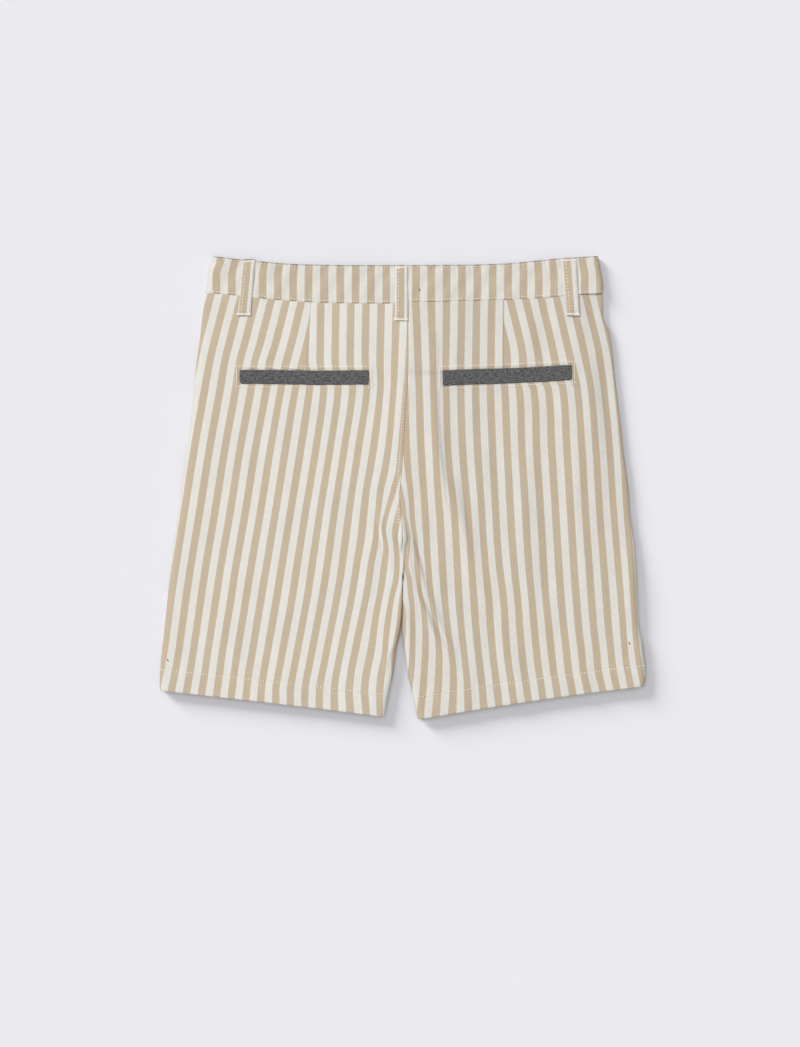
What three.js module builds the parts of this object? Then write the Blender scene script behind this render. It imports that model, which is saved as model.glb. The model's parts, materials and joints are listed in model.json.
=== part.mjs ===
// Bermuda shorts lying flat on their front, back up, in striped cotton twill.
// Millimetres. +X is the wearer's right, +Y the waist, +Z up out of the back.
// The origin is on the floor, under the middle of the garment.
import * as THREE from "three";
import { mergeVertices } from "three/addons/utils/BufferGeometryUtils.js";

// Driving sizes
const CLOTH = 1.2; // wall of a panel
const BAND_CLOTH = 1.5; // wall of the waistband, two layers of cloth
const HEM_DEPTH = 19.5; // hem turned up to its stitches
const HEM_EXTRA = 0.6; // second layer of the hem, on the inside
const GAP = 0.3; // between neighbouring pieces
const SEAM_HEIGHT = 2.7; // side seams and inseams above the floor
const BACK_HEIGHT = 5.5; // middle of the back wall above the floor
const WAIST_CENTRE_RISE = 1.3; // lift of the back over the buttoned front
const BACK_ROLL = 5; // how far in from a folded edge the back is level
const FRONT_ROLL = 3; // the same for the front
const CROTCH_Y = -53; // where the two legs meet
const FRONT_DROP = 8; // front of the waist lower than the back, at the centre
const LOOP = { width: 12, length: 50, thickness: 1.4 };
const FRONT_LOOP_X = 98; // front loops either side of the centre
const WELT = { thickness: 1.0, columns: 14, rows: 3 };
const BUTTON = { diameter: 15, thickness: 2, hole: 1.8, holeSpacing: 3.4 };
const OVERLAP_END = 12; // waistband end with the buttonhole, past the centre
const UNDERLAP_END = -25; // waistband end with the button, under the other
const ZIP = { width: 26, top: 136, bottom: 36, tape: 1.0, chain: 5, chainHeight: 2 };

const CREAM = 0xd6ccb8; // cream and beige stripes seen together
const LOOP_CREAM = 0xd9d3c4;
const MELANGE = 0x5c5b5d; // dark grey chambray of the pocket welts
const HORN = 0xb9a583;
const TAPE = 0xcfc6b2;

// Outer edges of the garment as it lies: [height y, edge x], waist to hem
const LEFT_SIDE = [
  [208.8, -170.1],
  [196, -174.4],
  [186, -174.8],
  [175.4, -176.6],
  [160, -179],
  [133, -182],
  [113, -184.7],
  [79, -188.2],
  [43, -192.6],
  [7, -197.2],
  [-29, -202.4],
  [-65, -207],
  [-101, -211.5],
  [-146, -216.9],
  [-172, -219.6],
  [-183, -219.2],
];
const RIGHT_SIDE = [
  [208.8, 176],
  [202, 177.4],
  [189, 179.8],
  [175, 180.2],
  [162.5, 180.6],
  [153, 181],
  [140.5, 186.2],
  [129, 188.2],
  [106, 190.8],
  [61, 196.2],
  [34, 199],
  [3, 203.3],
  [-29, 206.2],
  [-56, 209.6],
  [-101, 212.4],
  [-124, 213.4],
  [-137, 216],
  [-150, 217.8],
  [-170, 219.5],
  [-179, 217.6],
];
// Centre back seam from the waist down to the crotch: [height y, seam x]
const CENTRE_BACK = [
  [168, 4.4],
  [148.5, 5.3],
  [107, 5.3],
  [69, 3.1],
  [32, 0.8],
  [10, -0.7],
  [-5, -2.2],
  [-15, -1.4],
  [-28, 0],
  [-53, 0.6],
];
// Centre front seam, over the same length
const CENTRE_FRONT = [
  [168, 1.2],
  [60, 0.8],
  [-53, 0.6],
];
// Inner leg edges, which touch for the first part: [height y, edge x]
const LEFT_INNER = [
  [-53, 0.6],
  [-71, 2],
  [-80, 1],
  [-107, 0.6],
  [-128, -1.4],
  [-144, -4.9],
  [-165, -7.6],
  [-184, -11.7],
  [-207, -15.9],
];
const RIGHT_INNER = [
  [-53, 0.6],
  [-71, 2],
  [-80, 1],
  [-107, 0.6],
  [-130.5, 1.4],
  [-148.5, 2.7],
  [-165, 4.8],
  [-184, 8.9],
  [-209, 14.2],
];
// Top of the waistband, waist seam and hems: [x, height y]
const WAIST_TOP = [
  [-171, 208.8],
  [-142, 205.2],
  [-92, 201.2],
  [0, 200.3],
  [88, 201.6],
  [142, 206.4],
  [177, 208.8],
];
const WAIST_SEAM = [
  [-177, 175.4],
  [-149, 173.1],
  [-134, 171.2],
  [-107, 168.7],
  [-85, 167.2],
  [-55, 166.1],
  [-10, 165.9],
  [8, 167],
  [58, 168.2],
  [91, 169.2],
  [121, 170.6],
  [147, 173],
  [161, 174.2],
  [181, 175.1],
];
const LEFT_HEM = [
  [-220, -182.2],
  [-148, -190.2],
  [-80, -198],
  [-15, -206.3],
];
const RIGHT_HEM = [
  [13, -208.8],
  [78, -198],
  [156, -186.4],
  [220, -178.4],
];

// Soft folds on the back: three points of the crest, half width and height
const FOLDS = [
  { name: "right seat", from: [30, 129], via: [36, 30], to: [44, -16], half: 14, height: 1.2 },
  { name: "right thigh", from: [40, 4], via: [56, -40], to: [76, -88], half: 13, height: 1.1 },
  { name: "right crotch", from: [8, -48], via: [20, -100], to: [45, -150], half: 8, height: 0.9 },
  { name: "left crotch", from: [-21, -32], via: [-15, -50], to: [-12, -64], half: 6, height: 0.7 },
  { name: "left thigh", from: [-120, -20], via: [-122, -90], to: [-128, -150], half: 34, height: 0.6 },
];
// Pocket welts as four corners each
const WELTS = [
  {
    name: "welt_left",
    topLeft: [-146, 106],
    topRight: [-30, 105.6],
    bottomLeft: [-146, 93.4],
    bottomRight: [-30, 92.8],
  },
  {
    name: "welt_right",
    topLeft: [36.6, 105.4],
    topRight: [152.8, 110.4],
    bottomLeft: [36.6, 91.6],
    bottomRight: [152.8, 96.8],
  },
];
// Back belt loops: middle of the top end and of the bottom end
const BACK_LOOPS = [
  { name: "loop_back_left", top: [-136.4, 204.2], bottom: [-141.7, 154.6] },
  { name: "loop_back_centre", top: [-0.8, 200], bottom: [-0.9, 150] },
  { name: "loop_back_right", top: [151.6, 206.6], bottom: [153.4, 154.6] },
];

// A smooth curve through rows of [along, across], along rising or falling
function smoothCurve(rows) {
  const sorted = [...rows].sort((a, b) => a[0] - b[0]);
  const slope = sorted.map((row, i) => {
    const before = sorted[Math.max(i - 1, 0)];
    const after = sorted[Math.min(i + 1, sorted.length - 1)];
    return (after[1] - before[1]) / (after[0] - before[0]);
  });
  return (at) => {
    const last = sorted.length - 2;
    let i = sorted.findIndex((row, k) => k > last || at < sorted[k + 1][0]);
    i = Math.min(Math.max(i, 0), last);
    const [x0, y0] = sorted[i];
    const [x1, y1] = sorted[i + 1];
    const span = x1 - x0;
    const t = (at - x0) / span;
    if (t < 0) return y0 + slope[i] * (at - x0);
    if (t > 1) return y1 + slope[i + 1] * (at - x1);
    const t2 = t * t;
    const t3 = t2 * t;
    return (
      y0 * (2 * t3 - 3 * t2 + 1) +
      slope[i] * span * (t3 - 2 * t2 + t) +
      y1 * (3 * t2 - 2 * t3) +
      slope[i + 1] * span * (t3 - t2)
    );
  };
}

const mix = (a, b, t) => a + (b - a) * t;
const smoothStep = (from, to, at) => {
  const t = Math.min(Math.max((at - from) / (to - from), 0), 1);
  return t * t * (3 - 2 * t);
};
// 1 within the core of a bump and 0 beyond its shoulder
const bump = (distance, core, shoulder) => 1 - smoothStep(core, core + shoulder, Math.abs(distance));
// Height of a folded edge, 0 at the edge and 1 where the cloth is level
const roll = (distance, radius) =>
  distance >= radius ? 1 : Math.sqrt(Math.max(0, 1 - (1 - distance / radius) ** 2));

const leftSide = smoothCurve(LEFT_SIDE);
const rightSide = smoothCurve(RIGHT_SIDE);
const centreBack = smoothCurve(CENTRE_BACK);
const centreFront = smoothCurve(CENTRE_FRONT);
const leftInner = smoothCurve(LEFT_INNER);
const rightInner = smoothCurve(RIGHT_INNER);
const waistTop = smoothCurve(WAIST_TOP);
const waistSeam = smoothCurve(WAIST_SEAM);
const leftHem = smoothCurve(LEFT_HEM);
const rightHem = smoothCurve(RIGHT_HEM);

// How much lower the front of the waist lies than the back, 0 at both sides
const frontDrop = (x) => FRONT_DROP * Math.max(0, 1 - (x / 176) ** 2) ** 2;
const frontTop = (x) => waistTop(x) - frontDrop(x);
const frontSeam = (x) => waistSeam(x) - frontDrop(x);

// Distance from a point to a fold's crest, and how far along it the point is
function crest(fold, x, y) {
  let best = { distance: Infinity, along: 0 };
  const points = [fold.from, fold.via, fold.to];
  for (let i = 0; i < 2; i++) {
    const [ax, ay] = points[i];
    const [bx, by] = points[i + 1];
    const length = Math.hypot(bx - ax, by - ay);
    const raw = ((x - ax) * (bx - ax) + (y - ay) * (by - ay)) / length ** 2;
    const t = Math.min(Math.max(raw, 0), 1);
    const distance = Math.hypot(x - mix(ax, bx, t), y - mix(ay, by, t));
    if (distance < best.distance) best = { distance, along: (i + t) / 2 };
  }
  return best;
}

// Middle of the level back wall above the floor
function backLevel(x, y) {
  let z = BACK_HEIGHT;
  z += WAIST_CENTRE_RISE * bump(x, 30, 60) * smoothStep(60, 150, y);
  for (const fold of FOLDS) {
    const { distance, along } = crest(fold, x, y);
    z += fold.height * Math.exp(-((distance / fold.half) ** 2)) * Math.sin(Math.PI * mix(0.15, 0.85, along));
  }
  // the seat dips into the crotch
  z -= 1.2 * Math.exp(-(((x - 0.6) / 16) ** 2) - ((y + 56) / 26) ** 2);
  return z;
}

// How far the front waistband and the panels under it are pushed up
const BUTTON_LIFT = BUTTON.thickness + GAP;
const LOOP_LIFT = LOOP.thickness + GAP;
const LAP_LIFT = BUTTON_LIFT + BAND_CLOTH + GAP;
const loopLift = (x) => LOOP_LIFT * bump(Math.abs(x) - FRONT_LOOP_X, LOOP.width / 2 + 1, 12);
const overlapLift = (x) => BUTTON_LIFT * smoothStep(-26, -9, x);
const underlapLift = (x) => LAP_LIFT * (1 - smoothStep(14, 38, x));

// A closed wall around a grid of middle points: columns of rows.
// edges gives the direction of the first and last column's own face, or null.
function wall(grid, { outside, inside, facing, firstEdge = null, lastEdge = null }) {
  const columns = grid.length;
  const rows = grid[0].length;
  const at = (i, j) => grid[Math.min(Math.max(i, 0), columns - 1)][Math.min(Math.max(j, 0), rows - 1)];
  const normals = grid.map((column, i) =>
    column.map((_, j) => {
      const across = at(i + 1, j).clone().sub(at(i - 1, j));
      const down = at(i, j + 1).clone().sub(at(i, j - 1));
      return across.cross(down).normalize();
    }),
  );
  const middle = normals[columns >> 1][rows >> 1];
  if (middle.dot(facing) < 0) normals.flat().forEach((n) => n.negate());
  for (const [i, edge] of [
    [0, firstEdge],
    [columns - 1, lastEdge],
  ]) {
    if (edge) normals[i] = normals[i].map((n, j) => edge(j, n));
  }
  const positions = [];
  const push = (p) => positions.push(p.x, p.y, p.z);
  for (let i = 0; i < columns; i++)
    for (let j = 0; j < rows; j++) push(grid[i][j].clone().addScaledVector(normals[i][j], outside(i, j)));
  for (let i = 0; i < columns; i++)
    for (let j = 0; j < rows; j++) push(grid[i][j].clone().addScaledVector(normals[i][j], -inside(i, j)));
  const outer = (i, j) => i * rows + j;
  const inner = (i, j) => columns * rows + i * rows + j;
  const index = [];
  const quad = (a, b, c, d) => index.push(a, b, c, a, c, d);
  for (let i = 0; i < columns - 1; i++)
    for (let j = 0; j < rows - 1; j++) {
      quad(outer(i, j), outer(i, j + 1), outer(i + 1, j + 1), outer(i + 1, j));
      quad(inner(i, j), inner(i + 1, j), inner(i + 1, j + 1), inner(i, j + 1));
    }
  for (let i = 0; i < columns - 1; i++) {
    quad(outer(i, 0), outer(i + 1, 0), inner(i + 1, 0), inner(i, 0));
    quad(outer(i + 1, rows - 1), outer(i, rows - 1), inner(i, rows - 1), inner(i + 1, rows - 1));
  }
  for (let j = 0; j < rows - 1; j++) {
    quad(outer(0, j + 1), outer(0, j), inner(0, j), inner(0, j + 1));
    quad(outer(columns - 1, j), outer(columns - 1, j + 1), inner(columns - 1, j + 1), inner(columns - 1, j));
  }
  return facesOut(positions, index);
}

// Turns all triangles over where they point into the solid
function facesOut(positions, index) {
  let volume = 0;
  const corner = (k) => new THREE.Vector3().fromArray(positions, 3 * k);
  for (let k = 0; k < index.length; k += 3)
    volume += corner(index[k]).dot(corner(index[k + 1]).cross(corner(index[k + 2])));
  if (volume < 0) for (let k = 0; k < index.length; k += 3) [index[k + 1], index[k + 2]] = [index[k + 2], index[k + 1]];
  const geometry = new THREE.BufferGeometry();
  geometry.setAttribute("position", new THREE.Float32BufferAttribute(positions, 3));
  geometry.setIndex(index);
  geometry.computeVertexNormals();
  return geometry;
}

const shorts = new THREE.Group();
function add(name, geometry, color, roughness = 0.9) {
  const mesh = new THREE.Mesh(geometry, new THREE.MeshStandardMaterial({ color, roughness, metalness: 0 }));
  mesh.name = name;
  shorts.add(mesh);
}

// Columns across a panel: close together where the edges fold over
const EDGE_STEPS = [0, 0.04, 0.14, 0.32, 0.6, 1]; // parts of the roll width
const BACK_COLUMNS = Array.from({ length: 13 }, (_, k) => (k + 1) / 14);
// the front's are close together at its belt loop and at the buttoned laps
const FRONT_COLUMNS = [0.18, 0.36, 0.39, 0.42, 0.47, 0.5, 0.53, 0.66, 0.78, 0.84, 0.9, 0.955];
function columnsAcross(width, radius, inside) {
  const side = EDGE_STEPS.map((s) => s * radius);
  const level = inside.map((a) => mix(radius, width - radius, a));
  return [...side, ...level, ...side.map((s) => width - s).reverse()];
}

// Rows down a panel, as parts of its length: evenly spaced back rows, and
// front rows close together below the waist, where the loops lift the cloth
const FRONT_START = [0, 7, 13, 19, 26, 34, 50];
function rowsDown(length, start, count) {
  const hem = 1 - HEM_DEPTH / length;
  const first = start.map((d) => d / length);
  const from = first.length ? first[first.length - 1] : -hem / count;
  const rows = Array.from({ length: count }, (_, k) => mix(from, hem, (k + 1) / (count + 1)));
  return [...first, ...rows, hem, hem + 1.5 / length, (hem + 1.01) / 2, 1];
}

// One leg panel, back or front, between its side seam and its inner edge
function legPanel({ side, layer, inside, count }) {
  const left = side < 0;
  const back = layer === "back";
  const sideEdge = left ? leftSide : rightSide;
  const innerLeg = left ? leftInner : rightInner;
  const centre = back ? centreBack : centreFront;
  const waist = back ? waistSeam : frontSeam;
  const hem = left ? leftHem : rightHem;
  const radius = back ? BACK_ROLL : FRONT_ROLL;
  // the inner edge folds over only below the crotch
  const tilt = (y) => (Math.PI / 2) * (1 - smoothStep(CROTCH_Y - 14, CROTCH_Y + 20, y));
  const innerLine = (y) => (y > CROTCH_Y ? centre(y) : innerLeg(y));
  const innerEdge = (y) => innerLine(y) + side * (GAP / 2 + (CLOTH / 2) * Math.sin(tilt(y)));
  const outerEdge = (y) => sideEdge(y) - (side * CLOTH) / 2;

  const topSide = waist(outerEdge(175));
  const topInner = waist(innerEdge(165));
  const hemSide = hem(outerEdge(-180));
  const hemInner = hem(innerEdge(-206));
  const hemLift = back ? 0 : 1; // the front hem lies 1 mm inside the back's
  const length = 372;
  const rows = rowsDown(length, back ? [0] : FRONT_START, count);
  const seam = back ? SEAM_HEIGHT + GAP / 2 : SEAM_HEIGHT - GAP / 2;
  const grid = [];
  const sideOf = (b) => {
    const y = mix(topSide, hemSide, b);
    return new THREE.Vector2(outerEdge(y), y);
  };
  const innerOf = (b) => {
    const y = mix(topInner, hemInner, b);
    return new THREE.Vector2(innerEdge(y), y);
  };
  const columns = 2 * EDGE_STEPS.length + inside.length;
  for (let i = 0; i < columns; i++) grid.push([]);
  rows.forEach((b) => {
    const s = sideOf(b);
    const n = innerOf(b);
    const width = s.distanceTo(n);
    const distances = columnsAcross(width, radius, inside);
    distances.forEach((d, i) => {
      const a = d / width;
      const x = mix(s.x, n.x, a);
      let y = mix(s.y, n.y, a);
      y += (waist(x) - GAP / 2 - mix(topSide, topInner, a)) * (1 - b) ** 2;
      y += (hem(x) + hemLift - mix(hemSide, hemInner, a)) * b ** 2;
      const fold = tilt(n.y);
      const atSide = roll(d, radius);
      const atInner = mix(1, roll(width - d, radius), Math.sin(fold));
      let level = back ? backLevel(x, y) : CLOTH / 2;
      if (!back) {
        const down = frontSeam(x) - y;
        level += loopLift(x) * (1 - smoothStep(18, 34, down));
        level += (left ? overlapLift(x) : underlapLift(x)) * (1 - smoothStep(0, 20, down));
      }
      grid[i].push(new THREE.Vector3(x, y, mix(seam, level, atSide * atInner)));
    });
  });
  const outwardSide = (j) => {
    const p = grid[0][Math.max(j - 1, 0)];
    const q = grid[0][Math.min(j + 1, rows.length - 1)];
    return new THREE.Vector3(side * (p.y - q.y), side * (q.x - p.x), 0).normalize();
  };
  const outwardInner = (j, normal) => {
    const fold = tilt(grid[columns - 1][j].y);
    const level = new THREE.Vector3(0, 0, Math.sign(normal.z) || (back ? 1 : -1));
    const out = new THREE.Vector3(-side, 0, 0);
    return level.multiplyScalar(Math.cos(fold)).addScaledVector(out, Math.sin(fold)).normalize();
  };
  const hemRow = rows.length - 4;
  const extra = (j) => (j > hemRow ? HEM_EXTRA : 0);
  const geometry = wall(grid, {
    outside: () => CLOTH / 2,
    // the hem's second layer fades out at the seams, where two edges face each other
    inside: (i, j) => CLOTH / 2 + extra(j) * (i > 3 && i < columns - 4 ? 1 : 0),
    facing: new THREE.Vector3(0, 0, back ? 1 : -1),
    firstEdge: (j) => outwardSide(j),
    lastEdge: outwardInner,
  });
  add(`${layer}_${left ? "left" : "right"}`, geometry, CREAM);
}

legPanel({ side: -1, layer: "back", inside: BACK_COLUMNS, count: 25 });
legPanel({ side: 1, layer: "back", inside: BACK_COLUMNS, count: 25 });
legPanel({ side: -1, layer: "front", inside: FRONT_COLUMNS, count: 10 });
legPanel({ side: 1, layer: "front", inside: FRONT_COLUMNS, count: 10 });

// The waistband: one strip from its overlap end, round the left side, across
// the back and round the right side to its underlap end
function waistband() {
  const rows = [0, 0.5, 1];
  const stations = [];
  const edge = EDGE_STEPS.filter((s) => s > 0);
  for (const x of [OVERLAP_END, 5, -2, -9, -15, -20, -26, -40, -58, -76]) stations.push({ front: true, x });
  for (const x of [-84, -89, -94, -98, -102, -107, -112, -120, -140, -160]) stations.push({ front: true, x });
  for (const s of [...edge].reverse()) stations.push({ front: true, left: s });
  stations.push({ front: false, left: 0 });
  for (const s of edge) stations.push({ front: false, left: s });
  for (let x = -160; x <= 160; x += 11) stations.push({ front: false, x });
  for (const s of [...edge].reverse()) stations.push({ front: false, right: s });
  stations.push({ front: true, right: 0 });
  for (const s of edge) stations.push({ front: true, right: s });
  for (const x of [160, 140, 120, 112, 107, 102, 98, 94, 89, 84]) stations.push({ front: true, x });
  for (const x of [72, 55, 38, 32, 26, 20, 14, 5, -5, -15, UNDERLAP_END]) stations.push({ front: true, x });

  const grid = stations.map((station, i) =>
    rows.map((t) => {
      const y0 = station.front ? frontTop : waistTop;
      const y1 = station.front ? frontSeam : waistSeam;
      const radius = station.front ? FRONT_ROLL : BACK_ROLL;
      const heightAt = (x) => mix(y0(x), y1(x) + GAP / 2, t);
      let x = station.x;
      let turn = 1;
      if (station.left !== undefined || station.right !== undefined) {
        const isLeft = station.left !== undefined;
        const part = isLeft ? station.left : station.right;
        const sign = isLeft ? -1 : 1;
        const side = isLeft ? leftSide : rightSide;
        const y = heightAt(sign * 174);
        x = side(y) - sign * (BAND_CLOTH / 2 + part * radius);
        turn = roll(part * radius, radius);
      }
      const y = heightAt(x);
      const leftHalf = i < stations.length / 2;
      const lift = loopLift(x) + (leftHalf ? overlapLift(x) : underlapLift(x));
      const level = station.front ? BAND_CLOTH / 2 + lift : backLevel(x, y);
      return new THREE.Vector3(x, y, mix(SEAM_HEIGHT, level, turn));
    }),
  );
  const geometry = wall(grid, {
    outside: () => BAND_CLOTH / 2,
    inside: () => BAND_CLOTH / 2,
    facing: new THREE.Vector3(0, 0, 1),
  });
  add("waistband", geometry, CREAM);
}
waistband();

// A slab that lies on the garment: its underside is the cloth's face plus a gap
function laidSlab(name, corners, { thickness, columns, rows, face, side, color }) {
  const grid = [];
  for (let i = 0; i <= columns; i++) {
    grid.push([]);
    for (let j = 0; j <= rows; j++) {
      const a = i / columns;
      const b = j / rows;
      const x = mix(mix(corners.topLeft[0], corners.topRight[0], a), mix(corners.bottomLeft[0], corners.bottomRight[0], a), b);
      const y = mix(mix(corners.topLeft[1], corners.topRight[1], a), mix(corners.bottomLeft[1], corners.bottomRight[1], a), b);
      grid[i].push(new THREE.Vector3(x, y, face(x, y) + (side * thickness) / 2));
    }
  }
  const facing = new THREE.Vector3(0, 0, side);
  const geometry = wall(grid, { outside: () => thickness / 2, inside: () => thickness / 2, facing });
  add(name, geometry, color);
}

const backFace = (x, y) => backLevel(x, y) + CLOTH / 2 + GAP;
for (const welt of WELTS) laidSlab(welt.name, welt, { ...WELT, face: backFace, side: 1, color: MELANGE });

// Belt loops on the back lie over the waistband and end on the panel below it
const loopCorners = (top, bottom) => ({
  topLeft: [top[0] - LOOP.width / 2, top[1]],
  topRight: [top[0] + LOOP.width / 2, top[1]],
  bottomLeft: [bottom[0] - LOOP.width / 2, bottom[1]],
  bottomRight: [bottom[0] + LOOP.width / 2, bottom[1]],
});
const bandFace = (x, y) => backLevel(x, y) + BAND_CLOTH / 2 + GAP;
for (const { name, top, bottom } of BACK_LOOPS)
  laidSlab(name, loopCorners(top, bottom), {
    thickness: LOOP.thickness,
    columns: 4,
    rows: 9,
    face: bandFace,
    side: 1,
    color: LOOP_CREAM,
  });

// Belt loops on the front lie flat on the floor, under the raised waistband
for (const [name, x] of [
  ["loop_front_left", -FRONT_LOOP_X],
  ["loop_front_right", FRONT_LOOP_X],
]) {
  const top = frontTop(x) - 0.5;
  laidSlab(name, loopCorners([x, top], [x, top - LOOP.length]), {
    thickness: LOOP.thickness,
    columns: 4,
    rows: 8,
    face: () => 0,
    side: 1,
    color: LOOP_CREAM,
  });
}

// Four-hole button under the overlap end, its face on the floor
function button() {
  const face = new THREE.Shape().absarc(0, 0, BUTTON.diameter / 2 - 0.4, 0, 2 * Math.PI, false);
  for (const [sx, sy] of [
    [-1, -1],
    [1, -1],
    [1, 1],
    [-1, 1],
  ]) {
    const hole = new THREE.Path();
    hole.absarc((sx * BUTTON.holeSpacing) / 2, (sy * BUTTON.holeSpacing) / 2, BUTTON.hole / 2, 0, 2 * Math.PI, true);
    face.holes.push(hole);
  }
  const geometry = new THREE.ExtrudeGeometry(face, {
    depth: BUTTON.thickness - 0.8,
    bevelThickness: 0.4,
    bevelSize: 0.4,
    bevelSegments: 2,
    curveSegments: 10,
  });
  const y = mix(frontTop(0), frontSeam(0), 0.5);
  geometry.translate(0, y, 0.4);
  add("button", plain(geometry), HORN, 0.45);
}

// Zip tape with its closed chain, behind the centre front
function flyZip() {
  const half = ZIP.width / 2;
  const chain = ZIP.chain / 2;
  const outline = new THREE.Shape([
    new THREE.Vector2(-half, 0),
    new THREE.Vector2(half, 0),
    new THREE.Vector2(half, ZIP.tape),
    new THREE.Vector2(chain, ZIP.tape),
    new THREE.Vector2(chain - 0.5, ZIP.chainHeight),
    new THREE.Vector2(-chain + 0.5, ZIP.chainHeight),
    new THREE.Vector2(-chain, ZIP.tape),
    new THREE.Vector2(-half, ZIP.tape),
  ]);
  const geometry = new THREE.ExtrudeGeometry(outline, { depth: ZIP.top - ZIP.bottom, bevelEnabled: false });
  geometry.rotateX(Math.PI / 2);
  geometry.translate(1, ZIP.top, CLOTH + GAP);
  add("fly_zip", plain(geometry), TAPE, 0.8);
}

// An extruded shape as one closed mesh of shared points
function plain(geometry) {
  geometry.deleteAttribute("normal");
  geometry.deleteAttribute("uv");
  const merged = mergeVertices(geometry, 1e-4);
  merged.computeVertexNormals();
  return merged;
}

button();
flyZip();

export default shorts;
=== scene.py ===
"""Dresses the bermuda shorts: striped twill, folds, stitches, button and zip.

Lengths in the tables are millimetres in the part's own frame: +X is the
wearer's right, +Y the waist, +Z up out of the back, with the floor at 0.
"""

import json
import math

import bpy
import numpy as np
from bpy.props import FloatProperty, FloatVectorProperty, IntProperty, PointerProperty
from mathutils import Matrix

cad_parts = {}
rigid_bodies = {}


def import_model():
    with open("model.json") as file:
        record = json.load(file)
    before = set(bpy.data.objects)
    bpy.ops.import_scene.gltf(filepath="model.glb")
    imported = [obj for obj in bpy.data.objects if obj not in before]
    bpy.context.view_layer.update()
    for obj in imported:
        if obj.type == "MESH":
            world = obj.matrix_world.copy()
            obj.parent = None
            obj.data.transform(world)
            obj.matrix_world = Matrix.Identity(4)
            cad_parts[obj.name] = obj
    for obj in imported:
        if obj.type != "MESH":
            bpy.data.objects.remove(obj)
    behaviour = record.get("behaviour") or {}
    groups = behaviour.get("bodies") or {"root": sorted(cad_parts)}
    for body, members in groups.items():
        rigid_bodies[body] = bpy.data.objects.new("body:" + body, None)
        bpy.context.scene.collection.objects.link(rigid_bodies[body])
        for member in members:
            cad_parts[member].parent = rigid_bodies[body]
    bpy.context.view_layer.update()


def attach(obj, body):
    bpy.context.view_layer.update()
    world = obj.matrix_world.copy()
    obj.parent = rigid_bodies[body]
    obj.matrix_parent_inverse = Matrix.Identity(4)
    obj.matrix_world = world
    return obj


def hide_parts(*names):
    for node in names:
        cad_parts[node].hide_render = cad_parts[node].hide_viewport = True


bl_info = {
    "name": "Striped bermuda shorts",
    "version": (1, 0, 0),
    "blender": (4, 5, 0),
    "location": "3D View > Sidebar > Shorts",
    "description": "Sews the cloth, seams and trims of a pair of shorts laid flat",
    "category": "Object",
}

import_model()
MM = 0.001

# Sizes that the pieces share with the solids
WALL = 0.8  # one layer of cloth, drawn a little thicker than the real twill
PANEL_FACE = 0.6  # outer face of a panel above its middle
BAND_FACE = 0.75  # outer face of the waistband above its middle
HEM_DEPTH = 19.5
SEAM_ROW = 2.8  # the stitched row beside the centre back seam
SEAM_HEIGHT = 2.7  # side seams and inseams above the floor
SEAM_GAP = 0.05  # half of the gap between two pieces at a seam
BACK_HEIGHT = 5.5
WAIST_CENTRE_RISE = 1.3
WAIST_END_DIP = 0.9
CROTCH_DIP = 1.2
BACK_ROLL = 5
FRONT_ROLL = 3
CROTCH_Y = -53
FRONT_DROP = 8
WAIST_HALF = 176
HIP_SLOPE = 1.5  # how far the right hip sinks towards its side seam
PANEL_LENGTH = 372
LOOP_WIDTH = 12
LOOP_LENGTH = 50
LOOP_THICKNESS = 1.4
FRONT_LOOP_X = 98
OVERLAP_END = 12
UNDERLAP_END = -25
BUTTON_DIAMETER = 15
BUTTON_THICKNESS = 2
HOLE_PLACE = 1.6  # each hole of the button from its middle lines
PLY_GAP = 0.3
STRIPE_PITCH = 13.7
# Half of a beige stripe and half of its soft edge, as shares of the pitch
BEIGE_HALF = 0.25
SOFT_EDGE = 0.012
# Real twill ribs are 0.45 mm apart; to show at all they are drawn 1.1 mm apart,
# which is this far along the weft
DRAWN_RIB = 1.56
NO_DART = 99.0  # distance to the dart in pieces without one

# Outer edges of the garment as it lies: height y, edge x
LEFT_SIDE = [
    (208.8, -170.1),
    (196, -174.4),
    (186, -174.8),
    (175.4, -176.6),
    (160, -179),
    (133, -182),
    (113, -184.7),
    (79, -188.2),
    (43, -192.6),
    (7, -197.2),
    (-29, -202.4),
    (-65, -207),
    (-101, -211),
    (-146, -215.8),
    (-172, -218),
    (-183, -217.8),
]
RIGHT_SIDE = [
    (208.8, 176),
    (202, 177.4),
    (189, 179.8),
    (175, 180.2),
    (162.5, 180.6),
    (153, 181),
    (140.5, 186.2),
    (129, 188.2),
    (106, 190.8),
    (61, 196.2),
    (34, 199),
    (3, 203.3),
    (-29, 206.2),
    (-56, 209.6),
    (-101, 212.4),
    (-124, 213.4),
    (-137, 216),
    (-150, 217.8),
    (-170, 219.5),
    (-179, 217.6),
]
# Centre seams from the waist down to the crotch: height y, seam x
CENTRE_BACK = [
    (168, 4.4),
    (148.5, 5.3),
    (107, 5.3),
    (69, 3.1),
    (32, 0.8),
    (10, -0.7),
    (-5, -2.2),
    (-15, -1.4),
    (-28, 0),
    (-53, 0.6),
]
CENTRE_FRONT = [(168, 1.2), (60, 0.8), (-53, 0.6)]
# Inner leg edges: height y, edge x
LEFT_INNER = [
    (-53, 0.6),
    (-71, 2),
    (-80, 1),
    (-107, 0.6),
    (-128, -1.4),
    (-144, -4.9),
    (-165, -7.6),
    (-184, -11.7),
    (-207, -15.9),
]
RIGHT_INNER = [
    (-53, 0.6),
    (-71, 2),
    (-80, 1),
    (-107, 0.4),
    (-122, 0.1),
    (-134, 0.7),
    (-148.5, 2.9),
    (-165, 4.8),
    (-184, 8.9),
    (-209, 14.2),
]
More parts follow.
